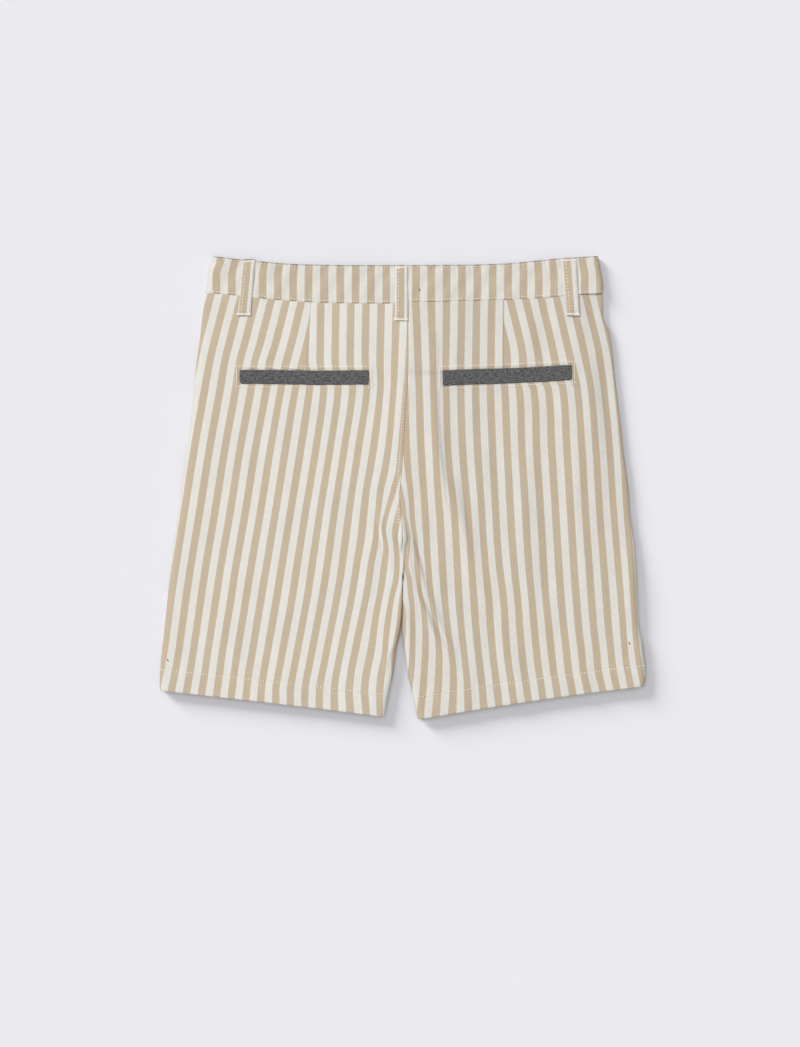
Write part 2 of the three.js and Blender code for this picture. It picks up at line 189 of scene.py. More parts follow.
# Top of the waistband, waist seam and hems: x, height y
WAIST_TOP = [
    (-171, 208.8),
    (-142, 205.2),
    (-92, 201.2),
    (0, 200.3),
    (88, 201.6),
    (142, 206.4),
    (177, 208.8),
]
WAIST_SEAM = [
    (-177, 175.4),
    (-149, 173.1),
    (-134, 171.2),
    (-107, 168.7),
    (-85, 167.2),
    (-55, 166.1),
    (-10, 165.9),
    (8, 167),
    (58, 168.2),
    (91, 169.2),
    (121, 170.6),
    (147, 173),
    (161, 174.2),
    (181, 175.1),
]
LEFT_HEM = [(-220, -182.2), (-148, -190.2), (-80, -198), (-15, -206.3)]
RIGHT_HEM = [(13, -208.8), (78, -198), (156, -186.4), (220, -178.4)]

# Broad folds of the back: points along the crest, half width, height
BROAD_FOLDS = [
    ("right seat", [(30, 129), (36, 30), (44, -16)], 14, 1.2),
    ("right thigh", [(40, 4), (56, -40), (76, -88)], 13, 1.1),
    ("right crotch", [(8, -48), (20, -100), (45, -150)], 8, 0.9),
    ("left crotch", [(-21, -32), (-15, -50), (-12, -64)], 6, 0.7),
    ("left thigh", [(-120, -20), (-122, -90), (-128, -150)], 34, 0.6),
]
# Fine folds: points down the line, half width on its left and on its right in
# the photo's view, and height, below 0 for a valley
FINE_FOLDS = [
    ("right seat and thigh",
     [(25, 136), (26, 96), (28, 60), (29.5, 34), (33.4, 15), (40.5, -6), (48.5, -23), (53.8, -39),
      (57.5, -61), (66, -84), (75, -104)], 9, 6.5, 2.0),
    ("right calf edge", [(72, -88), (86, -124), (94, -160)], 12, 7, 0.5),
    ("seat middle", [(14, 120), (15, 60), (18, 10), (26, -30)], 8, 7, 0.4),
    ("pod ridge", [(0.5, -29), (-0.8, -42), (-1.6, -51), (-1, -58)], 3, 2.4, 0.9),
    ("pod right valley", [(1.6, -30), (4.2, -42), (4.6, -46), (2.9, -54), (2.9, -64), (1.7, -80)],
     1.1, 1.1, -1.0),
    ("pod left valley", [(-3.6, -34), (-5, -45), (-3, -57)], 1.2, 1.2, -0.5),
    ("seat to crotch", [(0.4, -9), (4.2, -25), (7.2, -37), (9.2, -47), (7.6, -56), (4.7, -64)],
     2.2, 1.8, 0.8),
    ("crotch valley", [(8, -36), (11, -48), (14.4, -59), (17.6, -69), (19.4, -80), (22, -92)],
     1.8, 2.6, -0.9),
    ("inner thigh", [(6, -68), (12, -84), (15, -98), (20, -111), (26, -124), (34, -142)],
     4, 2.4, 1.6),
    ("inner thigh two", [(12, -60), (24, -94), (31, -116), (38, -134), (50, -162)], 5, 3, 1.4),
    ("inner valley", [(17, -90), (22.5, -108), (29, -122), (37, -137), (45, -152)], 2, 2, -1.0),
    ("inner edge tuck", [(2, -108), (4.4, -118), (7.5, -128)], 1.2, 2, 0.6),
    ("left ripple", [(-21, -24), (-20, -36), (-17, -46), (-15, -58)], 2, 3.2, 1.1),
    ("left valley", [(-24, -22), (-22.5, -38), (-19, -52), (-17.5, -66)], 2.4, 2.2, -0.7),
    ("left crotch drape", [(-11, -18), (-12, -40), (-9, -60), (-12, -90)], 3, 2.6, 0.6),
    ("left inner thigh", [(-26, -66), (-30, -92), (-34, -124)], 6, 4, 0.45),
    ("left inner hem", [(-7.5, -139), (-11, -150), (-14.5, -160), (-16, -168)], 2.5, 2.2, 0.7),
    ("left seat", [(-10, 96), (-16, 40), (-26, -20)], 9, 14, 0.7),
    ("left seat pull", [(-40, 80), (-44, 20), (-52, -40)], 12, 9, 0.35),
    ("left thigh drape", [(-60, 20), (-68, -60), (-78, -150)], 20, 10, 0.8),
    ("left side drape", [(-170, 60), (-182, -20), (-196, -130)], 12, 8, 0.6),
    ("left hip drape", [(-110, 150), (-124, 118), (-132, 70)], 13, 8, 0.45),
    ("left knee drape", [(-150, -70), (-160, -120), (-168, -178)], 12, 7, 0.5),
    ("left front pleat", [(-100, 80), (-108, 10), (-116, -60)], 14, 8, 0.4),
    ("right side drape", [(149, 66), (158, -30), (174, -140)], 12, 7, 1.3),
    ("right hip drape", [(160, 150), (170, 90), (178, 16)], 11, 7, 1.3),
    ("right middle drape", [(104, 40), (112, -40), (122, -150)], 15, 8, 0.8),
    ("right inner drape", [(70, 60), (80, 0), (92, -60)], 13, 7, 0.6),
    ("right pocket drape", [(112, 40), (118, 0), (126, -60)], 12, 7, 0.9),
    ("right hip valley", [(176, 128), (184, 84), (190, 30)], 6, 8, -0.8),
    ("hip kink", [(174, 160), (181, 152), (187, 146)], 3, 4, 0.8),
    ("right hem side", [(205, -128), (212, -140), (216, -156)], 5, 3.4, 0.8),
    ("right knee", [(196, -40), (204, -90), (206, -124)], 8, 5, 0.7),
    ("right hem drape", [(150, -110), (158, -150), (164, -182)], 8, 5, 0.45),
    ("right hem inner", [(96, -130), (102, -160), (108, -188)], 8, 5, 0.4),
]

# Painted shade for creases too narrow for the cloth's folds, drawn as fine dark lines: points
# down the line, half width, and how much darker the painted shade makes them
PAINTED_CREASE_SHADES = [
    ("seat", [(31.5, 138), (32.4, 84), (32.9, 61), (34.2, 39), (37.4, 16), (38.7, -6), (42, -20)],
     1.5, 0.22),
    ("lower seat", [(51.3, 8), (53.6, -6), (56.7, -29), (57.6, -43)], 1.7, 0.16),
    ("crotch", [(5.4, -42), (7.2, -54), (9.9, -76), (11.7, -92), (13, -105), (14.4, -117)], 1.6, 0.12),
    ("thigh", [(11, -46), (14.3, -58), (18.7, -76), (21.3, -89), (22.8, -104), (25, -118), (29, -130),
               (36, -141)], 1.7, 0.14),
    ("pod right", [(2.6, -33), (4.2, -40), (4.8, -46), (3, -53), (2.4, -62)], 0.8, 0.34),
    ("pod left", [(0.5, -43), (0.3, -50), (-0.7, -54), (-0.9, -58)], 0.8, 0.36),
    ("leg parting", [(1.2, -77), (1.2, -83)], 1.1, 0.6),
    ("left inner edge", [(0.9, -104), (0, -119), (-2.9, -130), (-5.6, -146)], 0.6, 0.34),
    ("left inner tuck", [(-8.1, -141), (-11.7, -153), (-15.3, -168)], 0.8, 0.14),
]

# Middles of beige stripes on the left back, by stripe number: height y, middle x.
# Above the pocket the dart parts stripes 0 to 6 from stripes 8 to 16.
LEFT_STRIPES = {
    0: [(160, -161.5), (129, -169.5), (113, -173), (88, -177.5), (34, -187), (-20, -195.5),
        (-74, -204), (-101, -208), (-143, -213.3), (-160, -216.2), (-180, -220.5)],
    4: [(160, -106), (129, -114), (113, -119), (88, -122), (34, -132), (-20, -140.5),
        (-74, -150), (-101, -154), (-149, -161.8), (-165, -163.8), (-185, -166.5)],
    6: [(160, -78.5), (129, -85.4), (113, -89.4), (88, -96), (34, -105), (-20, -113.5),
        (-74, -122.5), (-101, -127), (-152, -135.4), (-168, -138.1), (-188, -140.2)],
    8: [(160, -73), (129, -73.5), (113, -73.5), (88, -70.5), (34, -77.5), (-20, -86.5),
        (-74, -95), (-101, -99), (-155, -108.9), (-171, -111.8), (-180, -113.3), (-191, -113.4)],
    11: [(160, -32.5), (129, -33), (113, -33), (88, -31.5), (34, -39.5), (-20, -47.5),
         (-74, -54.5), (-101, -59), (-159, -70.2), (-176, -73.6), (-185, -74.3), (-196, -74.5)],
    13: [(160, -5), (129, -6), (113, -6.5), (88, -7.5), (43, -11.2), (20, -14.7), (0, -18.9),
         (-14, -20.2), (-36, -22), (-50, -23.6), (-65, -27), (-86, -30.2), (-101, -32.9),
         (-162, -45.4), (-179, -47.5), (-188, -47.5), (-199, -46.8)],
    14: [(160, 8), (129, 7), (113, 6), (88, 3.5), (34, -1), (14, -2.7), (0, -6.8), (-14, -11.4),
         (-26, -15.3), (-36, -17), (-43, -16.3), (-50, -14.9), (-58, -14.4), (-70, -16),
         (-94, -19.4), (-115, -23.4), (-144, -27.2), (-164, -31.5), (-181, -33.7), (-190, -33.1),
         (-201, -31.9)],
    15: [(160, 21.5), (113, 19), (34, 10), (-5, 1), (-14, -0.8), (-22, -2.6), (-30, -4.4),
         (-38, -6.2), (-46, -6.3), (-56, -4.7), (-72, -4.1), (-86, -5.6), (-94, -8), (-108, -10.8),
         (-130, -13.8), (-151, -15), (-166, -18.2), (-183, -19.8), (-203, -20)],
    16: [(160, 35), (88, 28), (34, 22), (-20, 10), (-44, 5), (-80, 3.5), (-94, 1), (-104, -0.8),
         (-122, -2.3), (-137, -5), (-151, -7.5), (-158, -7.2), (-170, -6.5), (-190, -8)],
}
LEFT_DART_STRIPE = 6
# The same on the right back, where the dart parts stripes -3 to 5 from 8 to 14
RIGHT_STRIPES = {
    -3: [(160, -28), (34, -20), (-14, -10), (-29, -5), (-43, -3), (-58, -3), (-74, -5), (-94, -4),
         (-108, 1), (-118, 1.8), (-130, 1.6), (-150, -1), (-170, -4), (-208, -8)],
    -2: [(160, -14.5), (88, -11), (34, -9), (-5, -1), (-14, 1), (-24, 2.3), (-34, 4.8),
         (-43, 6.7), (-50, 6), (-58, 4.8), (-66, 3.5), (-73, 4.1), (-82, 7), (-96, 8.3),
         (-115, 9), (-151, 9), (-166, 8.1), (-190, 4.6)],
    -1: [(160, -1), (129, 0.5), (113, 1), (88, 2.5), (43, 3.6), (14, 5.4), (-4, 7.3), (-26, 8.6),
         (-38, 10.2), (-50, 12), (-60, 13), (-72, 13.6), (-94, 15.9), (-104, 18.6), (-118, 20.6),
         (-134, 21.4), (-168, 19.6), (-185, 18.5), (-194, 17.3), (-205, 16.5)],
    0: [(160, 12.5), (129, 14), (113, 14.5), (88, 15.5), (43, 16.7), (14, 18.4), (-29, 21),
        (-58, 22.3), (-94, 25.3), (-115, 28.6), (-134, 32), (-148, 33.5), (-165, 33.1),
        (-183, 32), (-203, 30.2)],
    1: [(160, 26.5), (129, 27.5), (113, 28), (88, 28.5), (43, 30.1), (0, 32.2), (-29, 34.4),
        (-72, 36.4), (-101, 38.4), (-130, 41.5), (-148, 44.4), (-163, 46.2), (-183, 46.3),
        (-200, 45.3)],
    2: [(160, 40), (129, 39.5), (113, 39), (88, 39.5), (43, 40.5), (14, 42.8), (-14, 46.2),
        (-43, 48.4), (-72, 50), (-101, 51.2), (-130, 53.6), (-161, 57), (-178, 58.7), (-198, 59.7)],
    5: [(160, 80.5), (113, 80), (88, 79.5), (34, 81.5), (-20, 84), (-47, 85.5), (-74, 88),
        (-101, 91.5), (-128, 93), (-155, 95.2), (-172, 97.7), (-181, 98.9), (-192, 100.6)],
    8: [(160, 99.5), (129, 107), (113, 109), (105, 109.3), (88, 118.5), (34, 121), (-20, 124.5), (-74, 127.5),
        (-101, 129.5), (-150, 134.6), (-166, 136.4), (-175, 138), (-186, 139.5)],
    11: [(160, 141.5), (129, 148.5), (113, 152.5), (88, 158), (34, 162), (-20, 165), (-74, 168.5),
         (-128, 172.5), (-144, 174.6), (-161, 176.2), (-170, 177.6), (-180, 180.3)],
    13: [(160, 168.5), (129, 176), (113, 178.5), (88, 182), (34, 187), (-20, 190.5), (-74, 195),
         (-128, 199.3), (-141, 200.3), (-158, 202.1), (-177, 205.5)],
    14: [(160, 181), (129, 188.5), (113, 191.5), (88, 194), (34, 199), (-20, 202), (-74, 206.3),
         (-128, 209.6), (-140, 210.6), (-156, 212.7), (-176, 217)],
}
RIGHT_DART_STRIPE = 5
# Waist darts, from the waist seam down to the pocket: height y, seam x
LEFT_DART = [(166.5, -82.2), (137.7, -83.7), (108, -86.5), (60, -90)]
RIGHT_DART = [(168, 91.4), (108, 91.4), (60, 91.4)]
DART_END = 104
BAND_STRIPE_PITCH = 13.8
BAND_STRIPE_START = -1.3

# Pocket welts: top left, top right, bottom left, bottom right
WELTS = {
    "welt_left": ((-146, 106), (-30, 105.6), (-146, 93.4), (-30, 92.8)),
    "welt_right": ((36.6, 105.4), (152.8, 110.4), (36.6, 91.6), (152.8, 96.8)),
}
# Where along the left pocket painted shade draws its gaping mouth, and a short spot of painted shade near its
# end
GAPE_SHADE_X = -104
END_SPOT_SHADE_X = -137
# Back belt loops: middle of the top end, middle of the bottom end, both widths
BACK_LOOPS = {
    "loop_back_left": ((-137.0, 205.6), (-141.9, 154.6), (10.2, 11.8)),
    "loop_back_centre": ((-0.3, 200), (-0.5, 150), (11, 12)),
    "loop_back_right": ((150.2, 206.6), (154, 154.6), (13, 11.4)),
}
# How far left of a loop's middle its beige stripe lies
LOOP_STRIPES = {"loop_back_left": 1.6, "loop_back_right": 2.2}

# Button and zip on the front: heights along the garment
BUTTON_Y = 175.4
ZIP_X = 1
ZIP_TOP = 136
ZIP_BOTTOM = 36
ZIP_WIDTH = 26
CHAIN_WIDTH = 5
ZIP_LOW = 1.5
ZIP_HIGH = 3.5
# Loose dark thread ends on the back: x, y
THREAD_ENDS = [(15.6, 177.9), (-210.6, -154.8), (204.4, -139.7)]


# Curves and small sums


def smooth_curve(rows):
    """A smooth curve through rows of (along, across), straight beyond its ends."""
    table = np.array(sorted(rows), float)
    at, value = table[:, 0], table[:, 1]
    last = len(at) - 1
    before = np.maximum(np.arange(last + 1) - 1, 0)
    after = np.minimum(np.arange(last + 1) + 1, last)
    slope = (value[after] - value[before]) / (at[after] - at[before])

    def curve(x):
        x = np.asarray(x, float)
        i = np.clip(np.searchsorted(at, x, side="right") - 1, 0, last - 1)
        span = at[i + 1] - at[i]
        t = (x - at[i]) / span
        start = value[i] * (2 * t**3 - 3 * t**2 + 1) + slope[i] * span * (t**3 - 2 * t**2 + t)
        end = value[i + 1] * (3 * t**2 - 2 * t**3) + slope[i + 1] * span * (t**3 - t**2)
        low = value[i] + slope[i] * (x - at[i])
        high = value[i + 1] + slope[i + 1] * (x - at[i + 1])
        return np.where(t < 0, low, np.where(t > 1, high, start + end))

    return curve


def mix(a, b, t):
    """The value a share t of the way from a to b."""
    return a + (b - a) * t


def smooth_step(start, end, at):
    """0 before start, 1 after end, and smooth in between."""
    t = np.clip((at - start) / (end - start), 0, 1)
    return t * t * (3 - 2 * t)


def bump(distance, core, shoulder):
    """1 within the core of a bump, and 0 beyond its shoulder."""
    return 1 - smooth_step(core, core + shoulder, np.abs(distance))


def roll(distance, radius):
    """Height of a folded edge, 0 at the edge and 1 where the cloth is level."""
    t = np.clip(np.asarray(distance, float) / radius, 0, 1)
    return np.sqrt(1 - (1 - t) ** 2)


def ridge(distance, half):
    """A rounded ridge or groove, 1 at its middle."""
    return np.exp(-((distance / half) ** 2))


left_side = smooth_curve(LEFT_SIDE)
right_side = smooth_curve(RIGHT_SIDE)
centre_back = smooth_curve(CENTRE_BACK)
centre_front = smooth_curve(CENTRE_FRONT)
left_inner = smooth_curve(LEFT_INNER)
right_inner = smooth_curve(RIGHT_INNER)
waist_top = smooth_curve(WAIST_TOP)
waist_seam = smooth_curve(WAIST_SEAM)
# By side: -1 is the wearer's left, 1 the right
HANDS = {-1: "left", 1: "right"}
hem_lines = {-1: smooth_curve(LEFT_HEM), 1: smooth_curve(RIGHT_HEM)}
dart_lines = {-1: smooth_curve(LEFT_DART), 1: smooth_curve(RIGHT_DART)}


def front_drop(x):
    """How much lower the front of the waist lies than the back."""
    return FRONT_DROP * np.maximum(0, 1 - (x / WAIST_HALF) ** 2) ** 2


def front_top(x):
    """Top edge of the waistband's front."""
    return waist_top(x) - front_drop(x)


def front_seam(x):
    """Waist seam of the front."""
    return waist_seam(x) - front_drop(x)


# Forms of the cloth


def along_line(points, x, y):
    """Signed distance from a line, left of it above 0, and the share along it."""
    best = np.full(np.shape(x), np.inf)
    signed = np.zeros(np.shape(x))
    along = np.zeros(np.shape(x))
    count = len(points) - 1
    for i in range(count):
        (ax, ay), (bx, by) = points[i], points[i + 1]
        dx, dy = bx - ax, by - ay
        t = np.clip(((x - ax) * dx + (y - ay) * dy) / (dx * dx + dy * dy), 0, 1)
        away = np.hypot(x - ax - t * dx, y - ay - t * dy)
        side = np.where(dx * (y - ay) - dy * (x - ax) >= 0, 1.0, -1.0)
        nearer = away < best
        best = np.where(nearer, away, best)
        signed = np.where(nearer, side * away, signed)
        along = np.where(nearer, (i + t) / count, along)
    return signed, along


def back_level(x, y):
    """Middle of the back wall above the floor, away from its rolled edges."""
    z = BACK_HEIGHT + WAIST_CENTRE_RISE * bump(x, 30, 60) * smooth_step(60, 150, y)
    for _, points, half, height in BROAD_FOLDS:
        signed, along = along_line(points, x, y)
        z = z + height * ridge(signed, half) * np.sin(np.pi * mix(0.15, 0.85, along))
    # it sinks a little at the right end of the waist, and at the crotch
    z = z - WAIST_END_DIP * smooth_step(146, 174, x) * smooth_step(110, 165, y)
    return z - CROTCH_DIP * np.exp(-(((x - 0.6) / 16) ** 2) - ((y + 56) / 26) ** 2)


def fine_folds(x, y):
    """Small folds and creases on top of the broad ones."""
    z = np.zeros(np.shape(x))
    for _, points, left_half, right_half, height in FINE_FOLDS:
        signed, along = along_line(points, x, y)
        half = np.where(signed > 0, right_half, left_half)
        z = z + height * ridge(signed, half) * np.sin(np.pi * mix(0.06, 0.94, along))
    # the cloth is nowhere quite level: long soft waves run down it
    lean = x + 0.08 * y
    waves = 0.22 * np.sin(lean / 5.1 + np.sin(y / 31)) * np.sin(y / 47 + x / 61)
    waves = waves + 0.2 * np.sin(lean / 8.3 - y / 90 + 1.3) + 0.12 * np.sin(x / 3.4 - y / 19)
    z = z + waves * mix(0.6, 1.1, smooth_step(-20, 30, x))
    # the right hip slopes gently down to its side seam
    from_side = right_side(y) - x
    return z - HIP_SLOPE * smooth_step(48, 4, from_side) * smooth_step(-90, -20, y)


def ripple(along, wave, seed):
    """Uneven puckers along a stitched row, between 0 and 1."""
    turns = 2 * np.pi * along / wave
    mixed = np.sin(turns + seed) + 0.6 * np.sin(1.73 * turns + 2.1 * seed)
    return 0.5 + mixed / 3.2


def welt_place(corners, x, y):
    """Distances outside a welt: from its rectangle, and from its top line."""
    (x0, y0), (x1, y1), (_, y2), (_, y3) = corners
    share = (x - x0) / (x1 - x0)
    top = mix(y0, y1, share)
    bottom = mix(y2, y3, share)
    across = np.maximum(np.maximum(x0 - x, x - x1), 0)
    down = np.maximum(np.maximum(y - top, bottom - y), 0)
    return np.hypot(across, down), y - top


def seam_relief(side, x, y):
    """Raised and sunken lines of the back's seams, darts, pockets and hem."""
    z = np.zeros(np.shape(x))
    # the centre seam's allowance lies under the left panel and is topstitched
    from_seam = side * (x - centre_back(y))
    above_crotch = smooth_step(CROTCH_Y - 6, CROTCH_Y + 12, y)
    if side < 0:
        z = z + 0.25 * bump(from_seam - 4.5, 4, 2.5) * above_crotch
        z = z - 0.2 * ridge(from_seam - SEAM_ROW, 0.9) * above_crotch
    z = z - (0.2 if side < 0 else 0.4) * ridge(from_seam, 1.0) * above_crotch
    # the waist seam: the panel dips under the edge of the waistband
    below_waist = waist_seam(x) - y
    z = z - 0.05 * ridge(below_waist, 1.0)
    z = z + 0.3 * (ripple(x, 11.3, 1.0) - 0.4) * ridge(below_waist - 5, 5)
    # the dart: a fine groove with its allowance turned to the centre
    from_dart = side * (dart_lines[side](y) - x)
    dart_part = smooth_step(DART_END + 2, DART_END + 40, y)
    z = z + dart_part * (0.3 * bump(from_dart - 4, 3.4, 3) - 0.3 * ridge(from_dart, 0.9))
    # the pocket: cloth stands up round the welt and sinks below it
    outside, _ = welt_place(WELTS["welt_" + HANDS[side]], x, y)
    z = z + 0.42 * ridge(outside - 2.2, 2.4) - 0.25 * (outside <= 0)
    z = z - 0.14 * ridge(outside - 3.1, 0.8)
    # the hem: two layers up to a stitched row
    above_hem = y - hem_lines[side](x)
    z = z + 0.28 * smooth_step(HEM_DEPTH + 3, HEM_DEPTH - 1, above_hem)
    z = z - 0.3 * ridge(above_hem - HEM_DEPTH, 1.0)
    puckers = ripple(x, 9.0, 2.0 + side) * bump(above_hem - HEM_DEPTH + 1, 3, 12)
    return z + 0.3 * puckers


def leg_lines(side, layer):
    """The edges of one leg panel: side edge, inner edge, waist and hem."""
    left = side < 0
    centre = centre_back if layer == "back" else centre_front
    inner_leg = left_inner if left else right_inner

    def inner_edge(y):
        y = np.asarray(y, float)
        line = np.where(y > CROTCH_Y, centre(y), inner_leg(y))
        return line + side * SEAM_GAP

    side_edge = left_side if left else right_side
    waist = waist_seam if layer == "back" else front_seam
    return side_edge, inner_edge, waist, hem_lines[side]


def inner_fold(y, layer="front"):
    """1 below the crotch, where the inner edge is folded, and 0 above it."""
    start, end = (-98, -54) if layer == "back" else (CROTCH_Y - 14, CROTCH_Y + 20)
    return np.sin(np.pi / 2 * (1 - smooth_step(start, end, y)))


def edge_roll(side, layer, x, y, radius):
    """Height share of a panel's rolled edges, 1 where the cloth is level."""
    side_edge, inner_edge, _, _ = leg_lines(side, layer)
    at_side = roll(side * (side_edge(y) - x), radius)
    if layer == "back":
        # the two legs press together below the crotch, so their edges turn tightly
        radius = mix(radius, 1.5, smooth_step(-136, -92, y))
    at_inner = roll(side * (x - inner_edge(y)), radius)
    return at_side * mix(1, at_inner, inner_fold(y, layer))


def back_face(side, x, y):
    """Height of a back panel's outer face."""
    level = back_level(x, y) + PANEL_FACE + fine_folds(x, y) + seam_relief(side, x, y)
    seam = SEAM_HEIGHT + SEAM_GAP
    return seam + (level - seam) * edge_roll(side, "back", x, y, BACK_ROLL + PANEL_FACE)


# How high the cloth lies that rests on the button, a loop or the lap
BUTTON_LIFT = BUTTON_THICKNESS + PLY_GAP
LOOP_LIFT = LOOP_THICKNESS + PLY_GAP
LAP_LIFT = BUTTON_LIFT + 2 * BAND_FACE + PLY_GAP


def loop_lift(x):
    """How far the front is pushed up where it lies on its belt loops."""
    return LOOP_LIFT * bump(np.abs(x) - FRONT_LOOP_X, LOOP_WIDTH / 2 + 1, 12)


def overlap_lift(x):
    """How far the button pushes up the overlap of the waistband."""
    return BUTTON_LIFT * smooth_step(-26, -9, x)


def underlap_lift(x):
    """How far the underlap lies above the button and the overlap."""
    return LAP_LIFT * (1 - smooth_step(14, 38, x))


def front_face(side, x, y):
    """Height of a front panel's outer face, which lies on the floor."""
    down = front_seam(x) - y
    level = loop_lift(x) * (1 - smooth_step(18, 34, down))
    lap = overlap_lift(x) if side < 0 else underlap_lift(x)
    level = level + lap * (1 - smooth_step(0, 20, down))
    level = level + 0.25 * ridge(y - hem_lines[side](x) - HEM_DEPTH - 1, 0.9)
    level = level + 0.3 * ridge(side * (x - centre_front(y)), 0.9) * (1 - inner_fold(y))
    seam = SEAM_HEIGHT - SEAM_GAP
    return seam + (level - seam) * edge_roll(side, "front", x, y, FRONT_ROLL + PANEL_FACE)


def stripe_phase(stripes, numbers, x, y):
    """Stripe number at a point, whole in the middle of each beige stripe."""
    middles = [smooth_curve(stripes[number])(y) for number in numbers]
    phase = None
    for k in range(len(numbers) - 1):
        share = (x - middles[k]) / (middles[k + 1] - middles[k])
        here = numbers[k] + share * (numbers[k + 1] - numbers[k])
        phase = here if phase is None else np.where(x > middles[k], here, phase)
    return phase


def back_stripes(side, x, y):
    """Stripe numbers on both sides of the dart, and the distance from the dart."""
    left = side < 0
    stripes = LEFT_STRIPES if left else RIGHT_STRIPES
    last = LEFT_DART_STRIPE if left else RIGHT_DART_STRIPE
    whole = stripe_phase(stripes, list(stripes), x, y)
    first = stripe_phase(stripes, [number for number in stripes if number <= last], x, y)
    second = stripe_phase(stripes, [number for number in stripes if number > last], x, y)
    above = smooth_step(100, 107, y)
    first = mix(whole, first, above)
    second = mix(whole, second, above)
    away = side * (dart_lines[side](y) - x)
    by_side, by_centre = (first, second) if left else (second, first)
    return by_side, by_centre, away


def painted_cloth_shading(side, x, y):
    """Painted shade and light on the back cloth, as a share of its colour."""
    # painted shade: the right panel is darker all over, and darker again towards its right hip, as the light
    # falls off to that side
    painted_shading = np.full(np.shape(x), 1.0 if side < 0 else 0.94)
    if side > 0:
        painted_shading = painted_shading - 0.03 * smooth_step(48, 12, right_side(y) - x) * smooth_step(-90, -20, y)
    side_edge, inner_edge, _, _ = leg_lines(side, "back")
    # painted shade along the rolled side edge, wider on the left, and along the folded inner edge below the
    # crotch
    painted_shading = painted_shading - 0.1 * ridge(side * (side_edge(y) - x), 3.0 if side < 0 else 1.3)
    painted_shading = painted_shading - 0.12 * ridge(side * (x - inner_edge(y)), 1.0) * inner_fold(y, "back")
    outside, above = welt_place(WELTS["welt_" + HANDS[side]], x, y)
    # painted shade round each welt and along the hem's stitched row
    painted_shading = painted_shading - 0.16 * ridge(outside - 0.4, 1.0)
    painted_shading = painted_shading - 0.05 * ridge(y - hem_lines[side](x) - HEM_DEPTH, 0.9)
    # painted shade along every narrow valley of the fine folds
    for _, points, _, half, height in FINE_FOLDS:
        if height < 0 and half < 3:
            signed, along = along_line(points, x, y)
            painted_shading = painted_shading - 0.16 * ridge(signed, 0.9) * np.sin(np.pi * mix(0.04, 0.96, along))
    # painted shade along each crease of that table
    for _, points, half, shade_depth in PAINTED_CREASE_SHADES:
        signed, along = along_line(points, x, y)
        painted_shading = painted_shading - shade_depth * ridge(signed, half) * np.sin(np.pi * mix(0.1, 0.9, along))
    if side < 0:
        # painted shade and light: the left pocket's gape is a dark mouth of painted shade under a painted
        # highlight on its lip, with a spot of painted shade near its end
        gape_shade = bump(x - GAPE_SHADE_X, 20, 8)
        painted_shading = painted_shading - 0.34 * ridge(above - 0.6, 0.55) * gape_shade
        painted_shading = painted_shading + 0.1 * ridge(above - 1.9, 0.7) * gape_shade
        painted_shading = painted_shading - 0.2 * ridge(above - 1, 0.8) * bump(x - END_SPOT_SHADE_X, 3, 2)
    return painted_shading


# Meshes


def mesh_object(name, points, faces, floats=(), uv=None):
    """A piece from points in millimetres, with point attributes and a cloth UV."""
    mesh = bpy.data.meshes.new(name)
    mesh.from_pydata((np.asarray(points) * MM).tolist(), [], faces)
    for label, values in dict(floats).items():
        attribute = mesh.attributes.new(label, "FLOAT", "POINT")
        attribute.data.foreach_set("value", np.asarray(values, np.float32))
    if uv is not None:
        layer = mesh.uv_layers.new(name="cloth")
        corner = np.zeros(len(mesh.loops), np.int32)
        mesh.loops.foreach_get("vertex_index", corner)
        layer.data.foreach_set("uv", (np.asarray(uv) * MM)[corner].astype(np.float32).ravel())
    mesh.validate()
    mesh.polygons.foreach_set("use_smooth", np.ones(len(mesh.polygons), bool))
    mesh.update()
    piece = bpy.data.objects.new(name, mesh)
    bpy.context.scene.collection.objects.link(piece)
    return piece


def grid_normals(grid, facing):
    """Unit normals of a grid of points, on the side that facing points to."""
    across = np.gradient(grid, axis=0)
    down = np.gradient(grid, axis=1)
    normal = np.cross(across, down)
    normal /= np.maximum(np.linalg.norm(normal, axis=2, keepdims=True), 1e-9)
    middle = normal[grid.shape[0] // 2, grid.shape[1] // 2]
    return normal if middle @ np.array(facing) > 0 else -normal


RIM_STEPS = 4


def rim_arc(outer, inner, out):
    """Rounded rim from the outer to the inner edge, bulging towards out."""
    middle = (outer + inner) / 2
    half = (outer - inner) / 2
    reach = np.linalg.norm(half, axis=1, keepdims=True)
    points = []
    for k in range(1, RIM_STEPS + 1):
        turn = math.pi * k / (RIM_STEPS + 1)
        points.append(middle + half * math.cos(turn) + out * reach * math.sin(turn))
    return np.stack(points, axis=1)


